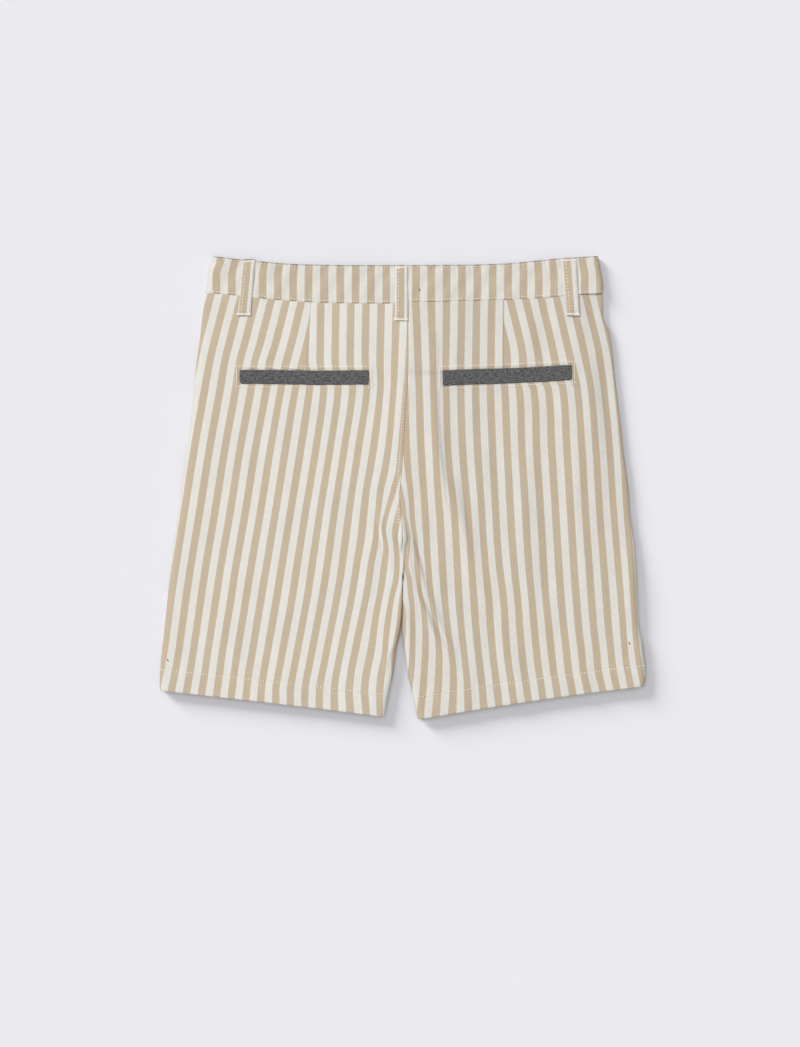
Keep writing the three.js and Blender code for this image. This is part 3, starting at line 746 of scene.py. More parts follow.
def closed_wall(outer, inner, start_out=None, end_out=None):
    """Points and faces of a closed wall between two grids, its first and last
    row joined by a rounded rim where a direction out is given."""
    columns, rows, _ = outer.shape
    parts = [outer]
    end_steps = 0
    if end_out is not None:
        end_steps = RIM_STEPS
        parts.append(rim_arc(outer[:, -1], inner[:, -1], end_out))
    parts.append(inner[:, ::-1])
    if start_out is not None:
        parts.append(rim_arc(inner[:, 0], outer[:, 0], start_out))
    ring = np.concatenate(parts, axis=1)
    count = ring.shape[1]
    index = np.arange(columns * count).reshape(columns, count)
    following = np.roll(index, -1, axis=1)
    quads = np.stack([index[:-1], following[:-1], following[1:], index[1:]], axis=-1)
    faces = quads.reshape(-1, 4).tolist()
    first_inner = rows + end_steps
    for column, turned in ((0, False), (columns - 1, True)):
        ring_index = index[column].tolist()
        caps = []
        for j in range(rows - 1):
            far = first_inner + rows - 1 - j
            caps.append([ring_index[j + 1], ring_index[j], ring_index[far], ring_index[far - 1]])
        if end_out is not None:
            caps.append(ring_index[rows - 1 : first_inner + 1][::-1])
        if start_out is not None:
            caps.append([ring_index[0], *ring_index[first_inner + rows - 1 :][::-1]])
        faces.extend(cap[::-1] if turned else cap for cap in caps)
    points = ring.reshape(-1, 3)
    i, j = columns // 2, rows // 2
    a, b, c = (points[k] for k in index[[i, i, i + 1], [j, j + 1, j + 1]])
    if np.dot(np.cross(b - a, c - b), outer[i, j] - inner[i, j]) < 0:
        faces = [face[::-1] for face in faces]
    return points, faces


def stations(length, coarse, fine_places, growth=0.22):
    """Places along a length, closer together near each (place, fine step)."""
    places = [0.0]
    while places[-1] < length:
        here = places[-1]
        step = coarse
        for place, fine in fine_places:
            step = min(step, fine + abs(here - place) * growth)
        places.append(here + step)
    places = np.array(places)
    return places * (length / places[-1])


# Distances in from a rolled edge, as shares of the roll
ROLL_STEPS = np.array([0, 0.006, 0.025, 0.06, 0.11, 0.18, 0.27, 0.38, 0.51, 0.66, 0.82, 1])
PANEL_WIDTH = 185
# Heights at which the corners of the panels are read from their edges
WAIST_SIDE_Y = 175.0
WAIST_INNER_Y = 165.0
HEM_SIDE_Y = -180.0
HEM_INNER_Y = -206.0


def panel_grid(side, layer, across, down):
    """Plan of a leg panel: x and y of its columns and rows."""
    side_edge, inner_edge, waist, hem = leg_lines(side, layer)
    back = layer == "back"
    radius = (BACK_ROLL if back else FRONT_ROLL) + PANEL_FACE
    top_side = waist(side_edge(WAIST_SIDE_Y))
    top_inner = waist(inner_edge(WAIST_INNER_Y))
    hem_side = hem(side_edge(HEM_SIDE_Y))
    hem_inner = hem(inner_edge(HEM_INNER_Y))
    hem_lift = (0 if back else 1) + WALL
    rows = down / down[-1]
    y_side = mix(top_side, hem_side, rows)
    y_inner = mix(top_inner, hem_inner, rows)
    x_side, x_inner = side_edge(y_side), inner_edge(y_inner)
    width = np.hypot(x_inner - x_side, y_inner - y_side)
    inner_zone = np.concatenate([ROLL_STEPS * radius, radius + np.array([1, 2, 3, 4, 5.2, 6.6])])
    reach = inner_zone[-1]
    level = across[1:-1] / across[-1]
    distance = np.concatenate(
        [
            np.repeat((ROLL_STEPS * radius)[:, None], len(rows), axis=1),
            mix(radius, width[None, :] - reach, level[:, None]),
            width[None, :] - inner_zone[::-1, None],
        ]
    )
    share = distance / width[None, :]
    x = mix(x_side[None, :], x_inner[None, :], share)
    y = mix(y_side[None, :], y_inner[None, :], share)
    y = y + (waist(x) - SEAM_GAP - mix(top_side, top_inner, share)) * (1 - rows) ** 2
    y = y + (hem(x) + hem_lift - mix(hem_side, hem_inner, share)) * rows**2
    return x, y


def panel_surface(side, layer):
    """Outer face of a leg panel as a grid, and its normals."""
    back = layer == "back"
    hem_row = PANEL_LENGTH - HEM_DEPTH
    if back:
        across = stations(PANEL_WIDTH, 1.8, [(PANEL_WIDTH, 0.9)], 0.03)
        down = stations(PANEL_LENGTH, 1.5, [(0, 0.5), (hem_row, 0.6), (PANEL_LENGTH, 0.8)])
        x, y = panel_grid(side, layer, across, down)
        z = back_face(side, x, y)
    else:
        across = stations(PANEL_WIDTH, 2.6, [])
        down = stations(PANEL_LENGTH, 3, [(0, 1), (hem_row, 0.8), (PANEL_LENGTH, 1)])
        x, y = panel_grid(side, layer, across, down)
        z = front_face(side, x, y)
    grid = np.stack([x, y, z], axis=-1)
    normals = grid_normals(grid, (0, 0, 1 if back else -1))
    tangent = np.gradient(grid[0], axis=0)
    outward = np.stack([-side * tangent[:, 1], side * tangent[:, 0], 0 * tangent[:, 0]], axis=-1)
    normals[0] = outward / np.linalg.norm(outward, axis=1, keepdims=True)
    fold = inner_fold(y[-1], layer)[:, None]
    level = normals[-1] * np.sqrt(1 - fold**2)
    edge = level + np.array([-side, 0, 0]) * fold
    normals[-1] = edge / np.linalg.norm(edge, axis=1, keepdims=True)
    return grid, normals


def leg_panel(side, layer):
    """One leg panel as a closed wall, its hem folded to a double layer."""
    grid, normals = panel_surface(side, layer)
    back = layer == "back"
    above_hem = grid[:, :, 1] - hem_lines[side](grid[:, :, 0])
    columns = np.arange(grid.shape[0])
    inside = smooth_step(0, 12, np.minimum(columns, columns[-1] - columns))[:, None]
    wall = WALL * (1 + smooth_step(HEM_DEPTH + 1, HEM_DEPTH - 0.5, above_hem) * inside)
    inner = grid - normals * wall[:, :, None]
    down = grid[:, -1] - grid[:, -3]
    down /= np.linalg.norm(down, axis=1, keepdims=True)
    points, faces = closed_wall(grid, inner, end_out=down)
    x, y = points[:, 0], points[:, 1]
    if back:
        by_side, by_centre, dart = back_stripes(side, x, y)
        dart = dart + np.sign(dart) * 4 * np.maximum(0, DART_END - y)
        painted_shading = painted_cloth_shading(side, x, y)
    else:
        by_side = (x - centre_front(y) - 0.03 * (y - 100) * side) / STRIPE_PITCH + 0.5
        by_centre = by_side
        dart = np.full(x.shape, NO_DART)
        painted_shading = np.ones(x.shape)
    floats = {"stripe_side": by_side, "stripe_centre": by_centre, "dart": dart, "painted_shading": painted_shading}
    uv = np.stack([by_side * STRIPE_PITCH, y], axis=-1)
    return mesh_object(f"{layer}_{HANDS[side]}_cloth", points, faces, floats, uv)


# How far the top of the band's stripes is pulled in near both ends of its back
BAND_PULL_LEFT = 3.8
BAND_PULL_RIGHT = 2.2
# Distances below the top edge of the waistband, and the rows of its mesh
BAND_DEPTH = 33
BAND_TOP_STITCH = 1.1
BAND_LOW_STITCH = 31.6
BAND_ROWS = np.concatenate(
    [[0, 0.35, 0.7, 1.1, 1.5, 2, 3], np.arange(4.5, 29, 1.5), [29.4, 30.4, 31.1, 31.6, 32, 32.5, 33]]
)


def band_surface():
    """Outer face, inner face and normals of the waistband, in this order:
    overlap end, left side, back, right side, underlap end."""
    turns = ROLL_STEPS[1:]
    radius = {True: FRONT_ROLL, False: BACK_ROLL}
    places = [(True, x, None) for x in np.arange(OVERLAP_END, -166, -2.0)]
    places += [(True, -1, part) for part in turns[::-1]]
    places += [(False, -1, part) for part in [0, *turns]]
    places += [(False, x, None) for x in np.arange(-164, 168, 1.3)]
    places += [(False, 1, part) for part in turns[::-1]]
    places += [(True, 1, part) for part in [0, *turns]]
    places += [(True, x, None) for x in np.arange(168, UNDERLAP_END - 0.1, -2.0)]
    share = BAND_ROWS / BAND_DEPTH
    middles = []
    for number, (front, at, part) in enumerate(places):
        top = front_top if front else waist_top
        seam = front_seam if front else waist_seam
        guess = at if part is None else at * 174.0
        y = mix(top(guess) - BAND_FACE, seam(guess) + SEAM_GAP + 0.5, share)
        if part is None:
            x = np.full(len(share), float(at))
            turn = 1.0
        else:
            edge = left_side(y) if at < 0 else right_side(y)
            x = edge - at * (BAND_FACE + part * radius[front])
            turn = roll(part * radius[front], radius[front])
        y = mix(top(x) - BAND_FACE, seam(x) + SEAM_GAP + 0.5, share)
        first_half = number < len(places) / 2
        lift = loop_lift(x) + (overlap_lift(x) if first_half else underlap_lift(x))
        level = BAND_FACE + lift if front else back_level(x, y)
        middles.append(np.stack([x, y, mix(SEAM_HEIGHT, level, turn)], axis=-1))
    grid = np.array(middles)
    normals = grid_normals(grid, (0, 0, 1))
    run = np.concatenate([[0], np.cumsum(np.linalg.norm(np.diff(grid[:, 0], axis=0), axis=1))])
    below_top = BAND_ROWS[None, :]
    above_seam = BAND_DEPTH - below_top
    rows = ridge(below_top - BAND_TOP_STITCH, 0.5) + ridge(below_top - BAND_LOW_STITCH, 0.5)
    swell = ripple(run[:, None], 11.0, 0.4) * bump(above_seam - 3, 2, 12)
    swell = swell + ripple(run[:, None], 7.4, 1.7) * bump(below_top - 3, 1, 8)
    sway = np.sin(run[:, None] / 3.1 + below_top / 5) + np.sin(run[:, None] / 6.7 - below_top / 8)
    relief = -0.12 * rows + 0.42 * swell + 0.3 * sway * bump(below_top - 16, 9, 9)
    relief = relief - 0.15 * ridge(below_top, 0.5)
    # the front of the band lies flat on the floor
    relief = np.where(normals[:, :, 2] < -0.3, np.minimum(relief, 0), relief)
    outer = grid + normals * (BAND_FACE + relief)[:, :, None]
    inner = grid - normals * BAND_FACE
    return outer, inner, normals


def band_piece():
    """The waistband as one closed strip with folded edges."""
    outer, inner, _ = band_surface()
    up = np.repeat(np.array([[0.0, 1.0, 0.0]]), len(outer), axis=0)
    points, faces = closed_wall(outer, inner, start_out=up, end_out=-up)
    x, y, z = points.T
    # the cloth is pulled a little sideways near both ends of its back
    high = smooth_step(190, 207, y)
    from_middle = np.clip((-40 - x) / 120, 0, 1)
    pull = BAND_PULL_LEFT * from_middle**1.3 - BAND_PULL_RIGHT * smooth_step(100, 160, x)
    pull = pull * high + bump(x + 36, 20, 22)
    moved = x - np.where(z > SEAM_HEIGHT, pull, 0)
    phase = (moved - BAND_STRIPE_START) / BAND_STRIPE_PITCH
    far = np.full(x.shape, NO_DART)
    # painted shade: the band's back is a little darker all over, and unevenly darker along its folded top
    # edge
    painted_shading = 0.95 - (0.26 + 0.36 * ripple(x, 9.7, 0.7)) * ridge(y - waist_top(x) + 0.1, 1.0)
    # beige cloth looks darker in the shade of its stitched edges
    beige = bump(phase - np.round(phase), 0.22, 0.05)
    painted_shading = painted_shading - 0.2 * ripple(x, 31, 2.0) * beige * ridge(y - waist_top(x) + 1.8, 1.3)
    painted_shading = painted_shading - 0.22 * beige * ridge(y - waist_seam(x) - 0.5, 0.6)
    # painted shade at both ends of the band
    edge = np.minimum(x - left_side(y), right_side(y) - x)
    painted_shading = painted_shading - 0.1 * ridge(edge, 1.3)
    painted_shading = np.where(z > SEAM_HEIGHT, painted_shading, 1.0)
    floats = {"stripe_side": phase, "stripe_centre": phase, "dart": far, "painted_shading": painted_shading}
    uv = np.stack([phase * STRIPE_PITCH, y], axis=-1)
    return mesh_object("waistband_cloth", points, faces, floats, uv)


def plan_grid(corners, across, down):
    """x and y of a four-cornered plan, by columns and rows."""
    (x0, y0), (x1, y1), (x2, y2), (x3, y3) = corners
    a, b = np.meshgrid(across, down, indexing="ij")
    x = mix(mix(x0, x1, a), mix(x2, x3, a), b)
    y = mix(mix(y0, y1, a), mix(y2, y3, a), b)
    return x, y, a, b


def strip_corners(top, bottom, widths=(LOOP_WIDTH, LOOP_WIDTH)):
    """Corners of a strip from the middles and widths of its top and bottom end."""
    high, low = widths[0] / 2, widths[1] / 2
    return (
        (top[0] - high, top[1]),
        (top[0] + high, top[1]),
        (bottom[0] - low, bottom[1]),
        (bottom[0] + low, bottom[1]),
    )


def soft_steps(count):
    """Places from 0 to 1, closer together at both ends."""
    t = np.linspace(-1, 1, count)
    return 0.5 + 0.5 * np.sign(t) * (1 - (1 - np.abs(t)) ** (4 / 3))


def loop_thickness(from_edge, from_end):
    """Thickness of a folded loop: domed across, pressed flat at its tacked ends."""
    thick = LOOP_THICKNESS * mix(0.6, 0.92, smooth_step(1.5, 6, from_end))
    dome = roll(from_edge, 2.2) * roll(from_end + 0.15, 0.8)
    return thick * mix(0.3, 1, dome) - 0.12 * ridge(from_edge - 2.8, 0.7)


def belt_loop(name, corners, face, facing):
    """A folded strip laid on a face, its outside up or, under the front, down."""
    x, y, a, b = plan_grid(corners, soft_steps(17), soft_steps(45))
    from_end = np.minimum(b, 1 - b) * LOOP_LENGTH
    from_edge = np.minimum(a, 1 - a) * LOOP_WIDTH
    under = face(x, y)
    thick = loop_thickness(from_edge, from_end)
    low = np.stack([x, y, under], axis=-1)
    high = np.stack([x, y, under + thick], axis=-1)
    outer, inner = (high, low) if facing > 0 else (low, high)
    points, faces = closed_wall(outer, inner)
    middle = (corners[0][0] + corners[1][0]) / 2
    low_middle = (corners[2][0] + corners[3][0]) / 2
    lean = (low_middle - middle) / LOOP_LENGTH
    down = corners[0][1] - points[:, 1]
    from_middle = points[:, 0] - middle - lean * down
    phase = (from_middle + LOOP_STRIPES.get(name, 0.9)) / STRIPE_PITCH
    far = np.full(phase.shape, NO_DART)
    # painted shade across the top end of each loop, deepest on the left back loop, with the rest a little
    # darker
    shade_depth = 0.6 if name == "loop_back_left" else 0.3
    painted_shading = 0.97 - shade_depth * ridge(down, 1.1)
    floats = {"stripe_side": phase, "stripe_centre": phase, "dart": far, "painted_shading": painted_shading}
    uv = np.stack([from_middle, points[:, 1]], axis=-1)
    return mesh_object(f"{name}_cloth", points, faces, floats, uv)


def back_loop_under(x, y):
    """Underside of a back loop: over the waistband, then down on the panel."""
    on_panel = smooth_step(-1, 7, waist_seam(x) - y)
    return back_level(x, y) + mix(BAND_FACE + 0.3, PANEL_FACE + 0.35, on_panel)


def front_loop_under(x, y):
    """Height of the floor, on which a front loop lies with its outside down."""
    return np.zeros(np.shape(x))


def on_loop(corners, start, end, facing, lift=0.1):
    """A line across or along a loop, from and to (distance in, distance down)."""
    across = np.linspace(start[0], end[0], 40)
    down = np.linspace(start[1], end[1], 40)
    a, b = across / LOOP_WIDTH, down / LOOP_LENGTH
    (x0, y0), (x1, _), (x2, y2), (x3, _) = corners
    x = mix(mix(x0, x1, a), mix(x2, x3, a), b)
    y = mix(y0, y2, b)
    if facing < 0:
        return np.stack([x, y, np.full(x.shape, 0.15)], axis=-1)
    from_edge = np.clip(np.minimum(across, LOOP_WIDTH - across), 0, None)
    thick = loop_thickness(from_edge, np.minimum(down, LOOP_LENGTH - down))
    return np.stack([x, y, back_loop_under(x, y) + thick + lift], axis=-1)


# Corners of a welt are rounded in plan, more at the bottom
WELT_TOP_CORNER = 1.2
WELT_LOW_CORNER = 2.4


def welt_piece(name, corners):
    """A pocket welt: a folded strip, rounded along its top edge."""
    x, y, a, b = plan_grid(corners, soft_steps(117), soft_steps(19))
    width = corners[1][0] - corners[0][0]
    depth = corners[0][1] - corners[2][1]
    from_end = np.minimum(a, 1 - a) * width
    from_long = np.minimum(b, 1 - b) * depth
    round_corner = np.where(b > 0.5, WELT_LOW_CORNER, WELT_TOP_CORNER)
    near = np.clip(1 - from_end / round_corner, 0, 1)
    pull = round_corner * (1 - np.sqrt(1 - near**2)) * np.abs(2 * b - 1) ** 3
    y = y + np.where(b > 0.5, 1, -1) * pull
    wave = np.sin(np.pi * 2.2 * a + 0.6) + 0.6 * (ripple(x, 23, 1.0) - 0.5)
    y = y + 0.28 * wave * np.abs(1 - 2 * b)
    under = back_level(x, y) + PANEL_FACE + 0.3
    edge = roll(from_long, 0.8) * roll(from_end, 0.7)
    thick = mix(0.25, 0.75, edge) + 0.08 * ripple(x, 17, 0.3) - 0.1 * ridge(from_long - 1.3, 0.5)
    low = np.stack([x, y, under], axis=-1)
    high = np.stack([x, y, under + thick], axis=-1)
    points, faces = closed_wall(high, low)
    uv = points[:, :2]
    return mesh_object(f"{name}_cloth", points, faces, {}, uv)


def button_piece():
    """A four-hole button with a raised rim, lying face down on the floor."""
    turns = np.linspace(0, 2 * np.pi, 72, endpoint=False)
    rim = BUTTON_DIAMETER / 2
    reach = np.array([0.05, 0.5, 0.9, 1.3, 1.7, 2.1, 2.5, 2.9, 3.5, 4.4, 5.1, 5.6, 6.1, 6.7, 7.1, 7.4, rim])
    angle, radius = np.meshgrid(turns, reach, indexing="ij")
    x, y = radius * np.cos(angle), radius * np.sin(angle)
    low = 0.5 * smooth_step(6, 4.8, radius) + 0.35 * smooth_step(6.9, rim, radius)
    for across in (-HOLE_PLACE, HOLE_PLACE):
        for along in (-HOLE_PLACE, HOLE_PLACE):
            low = low + 1.1 * bump(np.hypot(x - across, y - along), 0.55, 0.4)
    high = BUTTON_THICKNESS - 0.3 * (radius / rim) ** 4
    x = np.concatenate([x, x[:, ::-1]], axis=1)
    y = np.concatenate([y, y[:, ::-1]], axis=1) + BUTTON_Y
    z = np.concatenate([low, high[:, ::-1]], axis=1)
    count = x.shape[1]
    index = np.arange(x.size).reshape(len(turns), count)
    beside = np.roll(index, -1, axis=0)
    quads = np.stack([index[:, :-1], index[:, 1:], beside[:, 1:], beside[:, :-1]], axis=-1)
    faces = quads.reshape(-1, 4).tolist()
    faces += [index[:, 0].tolist(), index[::-1, -1].tolist()]
    points = np.stack([x, y, z], axis=-1).reshape(-1, 3)
    return mesh_object("button_horn", points, faces)


def slab(name, corners, low, high):
    """A flat closed strip between two heights, its long edges rounded."""
    x, y, a, _ = plan_grid(corners, soft_steps(9), soft_steps(15))
    pull = 0.3 * (high - low) * (1 - roll(np.minimum(a, 1 - a), 0.08))
    bottom = np.stack([x, y, low + pull], axis=-1)
    top = np.stack([x, y, high - pull], axis=-1)
    points, faces = closed_wall(top, bottom)
    return mesh_object(name, points, faces)


# Materials


def linear(code):
    """A colour given as sRGB hex, as linear red, green and blue."""
    channels = [int(code[i : i + 2], 16) / 255 for i in (1, 3, 5)]
    return [c / 12.92 if c <= 0.04045 else ((c + 0.055) / 1.055) ** 2.4 for c in channels]


def add_node(tree, kind, sockets=None, **settings):
    """A node with its settings. Each socket is given a value, another node's
    output, or another node, which stands for its first output."""
    node = tree.nodes.new(kind)
    for name, value in settings.items():
        setattr(node, name, value)
    for key, value in (sockets or {}).items():
        if isinstance(value, bpy.types.Node):
            value = value.outputs[0]
        if isinstance(value, bpy.types.NodeSocket):
            tree.links.new(value, node.inputs[key])
        else:
            node.inputs[key].default_value = value
    return node


def rgba(colour):
    """A colour with full opacity."""
    return (*colour[:3], 1.0)


def new_material(name, settings):
    """A material with its node tree and a Principled shader of these settings."""
    material = bpy.data.materials.new(name)
    material.use_nodes = True
    tree = material.node_tree
    shader = next(n for n in tree.nodes if n.type == "BSDF_PRINCIPLED")
    for label, value in settings.items():
        shader.inputs[label].default_value = value
    return material, tree, shader


def grains(tree, place, rows):
    """Cloudy patterns between 0 and 1, one for each row of its size in
    millimetres, how much finer it is along each axis, and its detail."""
    patterns = []
    for size, finer, detail in rows:
        scaled = add_node(tree, "ShaderNodeVectorMath", {0: place, 1: finer}, operation="MULTIPLY")
        sockets = {"Vector": scaled, "Scale": 1 / (size * MM), "Detail": detail}
        patterns.append(add_node(tree, "ShaderNodeTexNoise", sockets))
    return patterns


def twill_ribs(tree, place):
    """Fine diagonal ribs of a twill, between -1 and 1."""
    parts = add_node(tree, "ShaderNodeSeparateXYZ", {0: place})
    sides = {0: parts.outputs[0], 1: parts.outputs[1]}
    diagonal = add_node(tree, "ShaderNodeMath", sides, operation="ADD")
    turn = 2 * math.pi / (DRAWN_RIB * MM)
    turns = add_node(tree, "ShaderNodeMath", {0: diagonal, 1: turn}, operation="MULTIPLY")
    return add_node(tree, "ShaderNodeMath", {0: turns}, operation="SINE")


def shade_colour(tree, shader, colour, pattern, depth, least):
    """Gives a shader a colour times a pattern, from its least share up by depth."""
    sockets = {0: pattern, 1: depth, 2: least}
    shade = add_node(tree, "ShaderNodeMath", sockets, operation="MULTIPLY_ADD")
    sockets = {0: colour[:3], "Scale": shade}
    toned = add_node(tree, "ShaderNodeVectorMath", sockets, operation="SCALE")
    tree.links.new(toned.outputs[0], shader.inputs["Base Color"])


def striped_twill(colours):
    """Yarn-dyed cotton twill, woven in cream and beige warp stripes: matt,
    soft, faintly ribbed, with slubs along the weft and no gloss."""
    settings = {
        "Roughness": 0.86,
        "Specular IOR Level": 0.25,
        "Sheen Weight": 0.08,
        "Sheen Roughness": 0.5,
    }
    material, tree, shader = new_material("striped cotton twill", settings)
    by_side, by_centre, dart, painted_shading = (
        add_node(tree, "ShaderNodeAttribute", attribute_name=name).outputs["Fac"]
        for name in ("stripe_side", "stripe_centre", "dart", "painted_shading")
    )
    place = add_node(tree, "ShaderNodeUVMap", uv_map="cloth")
    rows = [
        (2.5, (1, 0.6, 1), 2.0),
        (7.0, (1, 14, 1), 3.0),
        (6.0, (9, 1, 1), 2.0),
        (28.0, (1, 1, 1), 2.0),
        (1.6, (1, 1, 1), 3.0),
    ]
    wander, slub, warp_thread, cloud, fuzz = grains(tree, place, rows)
    # the dart parts the stripes counted from the side from those by the centre
    centre_part = add_node(tree, "ShaderNodeMath", {0: dart, 1: 0.0}, operation="GREATER_THAN")
    counts = {0: centre_part, 2: by_side, 3: by_centre}
    count = add_node(tree, "ShaderNodeMix", counts, data_type="FLOAT")
    # the stripe's edge wanders by a thread
    centred = add_node(tree, "ShaderNodeMath", {0: wander, 1: 0.5}, operation="SUBTRACT")
    sockets = {0: centred, 1: 0.03, 2: count}
    count = add_node(tree, "ShaderNodeMath", sockets, operation="MULTIPLY_ADD")
    from_beige = add_node(tree, "ShaderNodeMath", {0: count, 1: 0.5}, operation="PINGPONG")
    beige_part = add_node(
        tree,
        "ShaderNodeMapRange",
        {"Value": from_beige, "From Min": BEIGE_HALF + SOFT_EDGE, "From Max": BEIGE_HALF - SOFT_EDGE},
        interpolation_type="SMOOTHSTEP",
    )
    yarns = {0: beige_part, 6: rgba(colours.cream), 7: rgba(colours.beige)}
    colour = add_node(tree, "ShaderNodeMix", yarns, data_type="RGBA").outputs[2]
    # painted shade: the sewn line of the dart is a hairline darker, added to each piece's painted shading
    from_dart = add_node(tree, "ShaderNodeMath", {0: dart}, operation="ABSOLUTE")
    dart_line_shade = add_node(
        tree,
        "ShaderNodeMapRange",
        {"Value": from_dart, "From Min": 0.2, "From Max": 0.7, "To Min": -0.2, "To Max": 0.0},
        interpolation_type="SMOOTHSTEP",
    )
    shade = add_node(tree, "ShaderNodeMath", {0: painted_shading, 1: dart_line_shade}, operation="ADD")
    for pattern, depth in ((slub, 0.22), (warp_thread, 0.14), (cloud, 0.08)):
        centred = add_node(tree, "ShaderNodeMath", {0: pattern, 1: 0.5}, operation="SUBTRACT")
        sockets = {0: centred, 1: depth, 2: shade}
        shade = add_node(tree, "ShaderNodeMath", sockets, operation="MULTIPLY_ADD")
    toned = add_node(tree, "ShaderNodeVectorMath", {0: colour, "Scale": shade}, operation="SCALE")
    tree.links.new(toned.outputs[0], shader.inputs["Base Color"])
    sockets = {0: twill_ribs(tree, place), 1: 0.25, 2: fuzz}
    height = add_node(tree, "ShaderNodeMath", sockets, operation="MULTIPLY_ADD")
    height = add_node(tree, "ShaderNodeMath", {0: height, 1: slub}, operation="ADD")
    relief = add_node(tree, "ShaderNodeBump", {"Height": height, "Strength": 1.0, "Distance": 0.12 * MM})
    tree.links.new(relief.outputs[0], shader.inputs["Normal"])
    return material


def melange_chambray(colours):
    """Dark grey chambray woven from black and pale flecked yarns: the flecks
    run both ways and the face is dry and matt."""
    settings = {"Roughness": 0.9, "Specular IOR Level": 0.2, "Sheen Weight": 0.05}
    material, tree, shader = new_material("dark grey melange chambray", settings)
    place = add_node(tree, "ShaderNodeUVMap", uv_map="cloth")
    # yarn flecks of 0.35 mm are drawn about 0.7 mm wide so that they show
    rows = [(4.6, (1, 6, 1), 3.0), (4.0, (6, 1, 1), 3.0), (1.4, (0.7, 1, 1), 2.0)]
    mixed, *others = grains(tree, place, rows)
    for pattern in others:
        mixed = add_node(tree, "ShaderNodeMath", {0: pattern, 1: 0.7, 2: mixed}, operation="MULTIPLY_ADD")
    pale_part = add_node(
        tree, "ShaderNodeMapRange", {"Value": mixed, "From Min": 0.97, "From Max": 1.5}
    )
    yarns = {0: pale_part, 6: rgba(colours.chambray_dark), 7: rgba(colours.chambray_pale)}
    colour = add_node(tree, "ShaderNodeMix", yarns, data_type="RGBA")
    tree.links.new(colour.outputs[2], shader.inputs["Base Color"])
    relief = add_node(tree, "ShaderNodeBump", {"Height": mixed, "Strength": 1.0, "Distance": 0.2 * MM})
    tree.links.new(relief.outputs[0], shader.inputs["Normal"])
    return material


def sewing_thread(colours):
    """Cream spun polyester thread: two plies that catch a little light."""
    settings = {"Roughness": 0.6, "Specular IOR Level": 0.35}
    material, tree, shader = new_material("cream sewing thread", settings)
    place = add_node(tree, "ShaderNodeTexCoord").outputs["Object"]
    (twist,) = grains(tree, place, [(0.8, (1, 1, 1), 1.0)])
    shade_colour(tree, shader, colours.thread, twist, 0.16, 0.92)
    return material


def dark_thread(colours):
    """Trimmed ends of dark brown sewing thread: matt and fuzzy."""
    settings = {"Base Color": rgba(colours.dark_thread), "Roughness": 0.7}
    material, _, _ = new_material("dark thread end", settings)
    return material


def plain_studio_paper(colours):
    """Seamless background paper: even, matt and very slightly toothed."""
    settings = {"Roughness": 0.95, "Specular IOR Level": 0.1}
    material, tree, shader = new_material("pale studio paper", settings)
    place = add_node(tree, "ShaderNodeTexCoord").outputs["Object"]
    (tooth,) = grains(tree, place, [(1.5, (1, 1, 1), 2.0)])
    shade_colour(tree, shader, colours.floor, tooth, 0.01, 0.995)
    return material


def horn_button_plastic(colours):
    """Moulded polyester made to look like horn: cloudy, polished to a satin."""
    material, tree, shader = new_material("horn-look polyester", {"Roughness": 0.35, "IOR": 1.52})
    place = add_node(tree, "ShaderNodeTexCoord").outputs["Object"]
    (streak,) = grains(tree, place, [(6.0, (0.5, 2, 1), 4.0)])
    pale_part = add_node(
        tree, "ShaderNodeMapRange", {"Value": streak, "From Min": 0.35, "From Max": 0.65}
    )
    clouds = {0: pale_part, 6: rgba(colours.horn), 7: rgba(colours.horn_pale)}
    colour = add_node(tree, "ShaderNodeMix", clouds, data_type="RGBA")
    tree.links.new(colour.outputs[2], shader.inputs["Base Color"])
    return material


def moulded_zip_teeth(colours):
    """Zip coil of beige polyester, smooth from its mould."""
    material, tree, shader = new_material("beige zip coil", {"Roughness": 0.4, "IOR": 1.5})
    place = add_node(tree, "ShaderNodeTexCoord").outputs["Object"]
    (cloud,) = grains(tree, place, [(3.0, (1, 1, 1), 1.0)])
    shade_colour(tree, shader, colours.zip_tape, cloud, 0.12, 0.94)
    return material


def woven_zip_tape(colours):
    """Herringbone tape of beige polyester: close, flat and slightly shiny."""
    material, tree, shader = new_material("woven zip tape", {"Roughness": 0.7})
    place = add_node(tree, "ShaderNodeTexCoord").outputs["Object"]
    rib = twill_ribs(tree, place)
    shade_colour(tree, shader, colours.zip_tape, rib, 0.05, 0.95)
    relief = add_node(tree, "ShaderNodeBump", {"Height": rib, "Strength": 0.6, "Distance": 0.1 * MM})
    tree.links.new(relief.outputs[0], shader.inputs["Normal"])
    return material


MATERIALS = {
    "striped cotton twill": striped_twill,
    "dark grey melange chambray": melange_chambray,
    "cream sewing thread": sewing_thread,
    "dark thread end": dark_thread,
    "pale studio paper": plain_studio_paper,
    "horn-look polyester": horn_button_plastic,
    "beige zip coil": moulded_zip_teeth,
    "woven zip tape": woven_zip_tape,
}


def material_once(name, context):
    """The material of that name, made the first time it is asked for."""
    return bpy.data.materials.get(name) or MATERIALS[name](context.scene.shorts_colours)


# Stitches


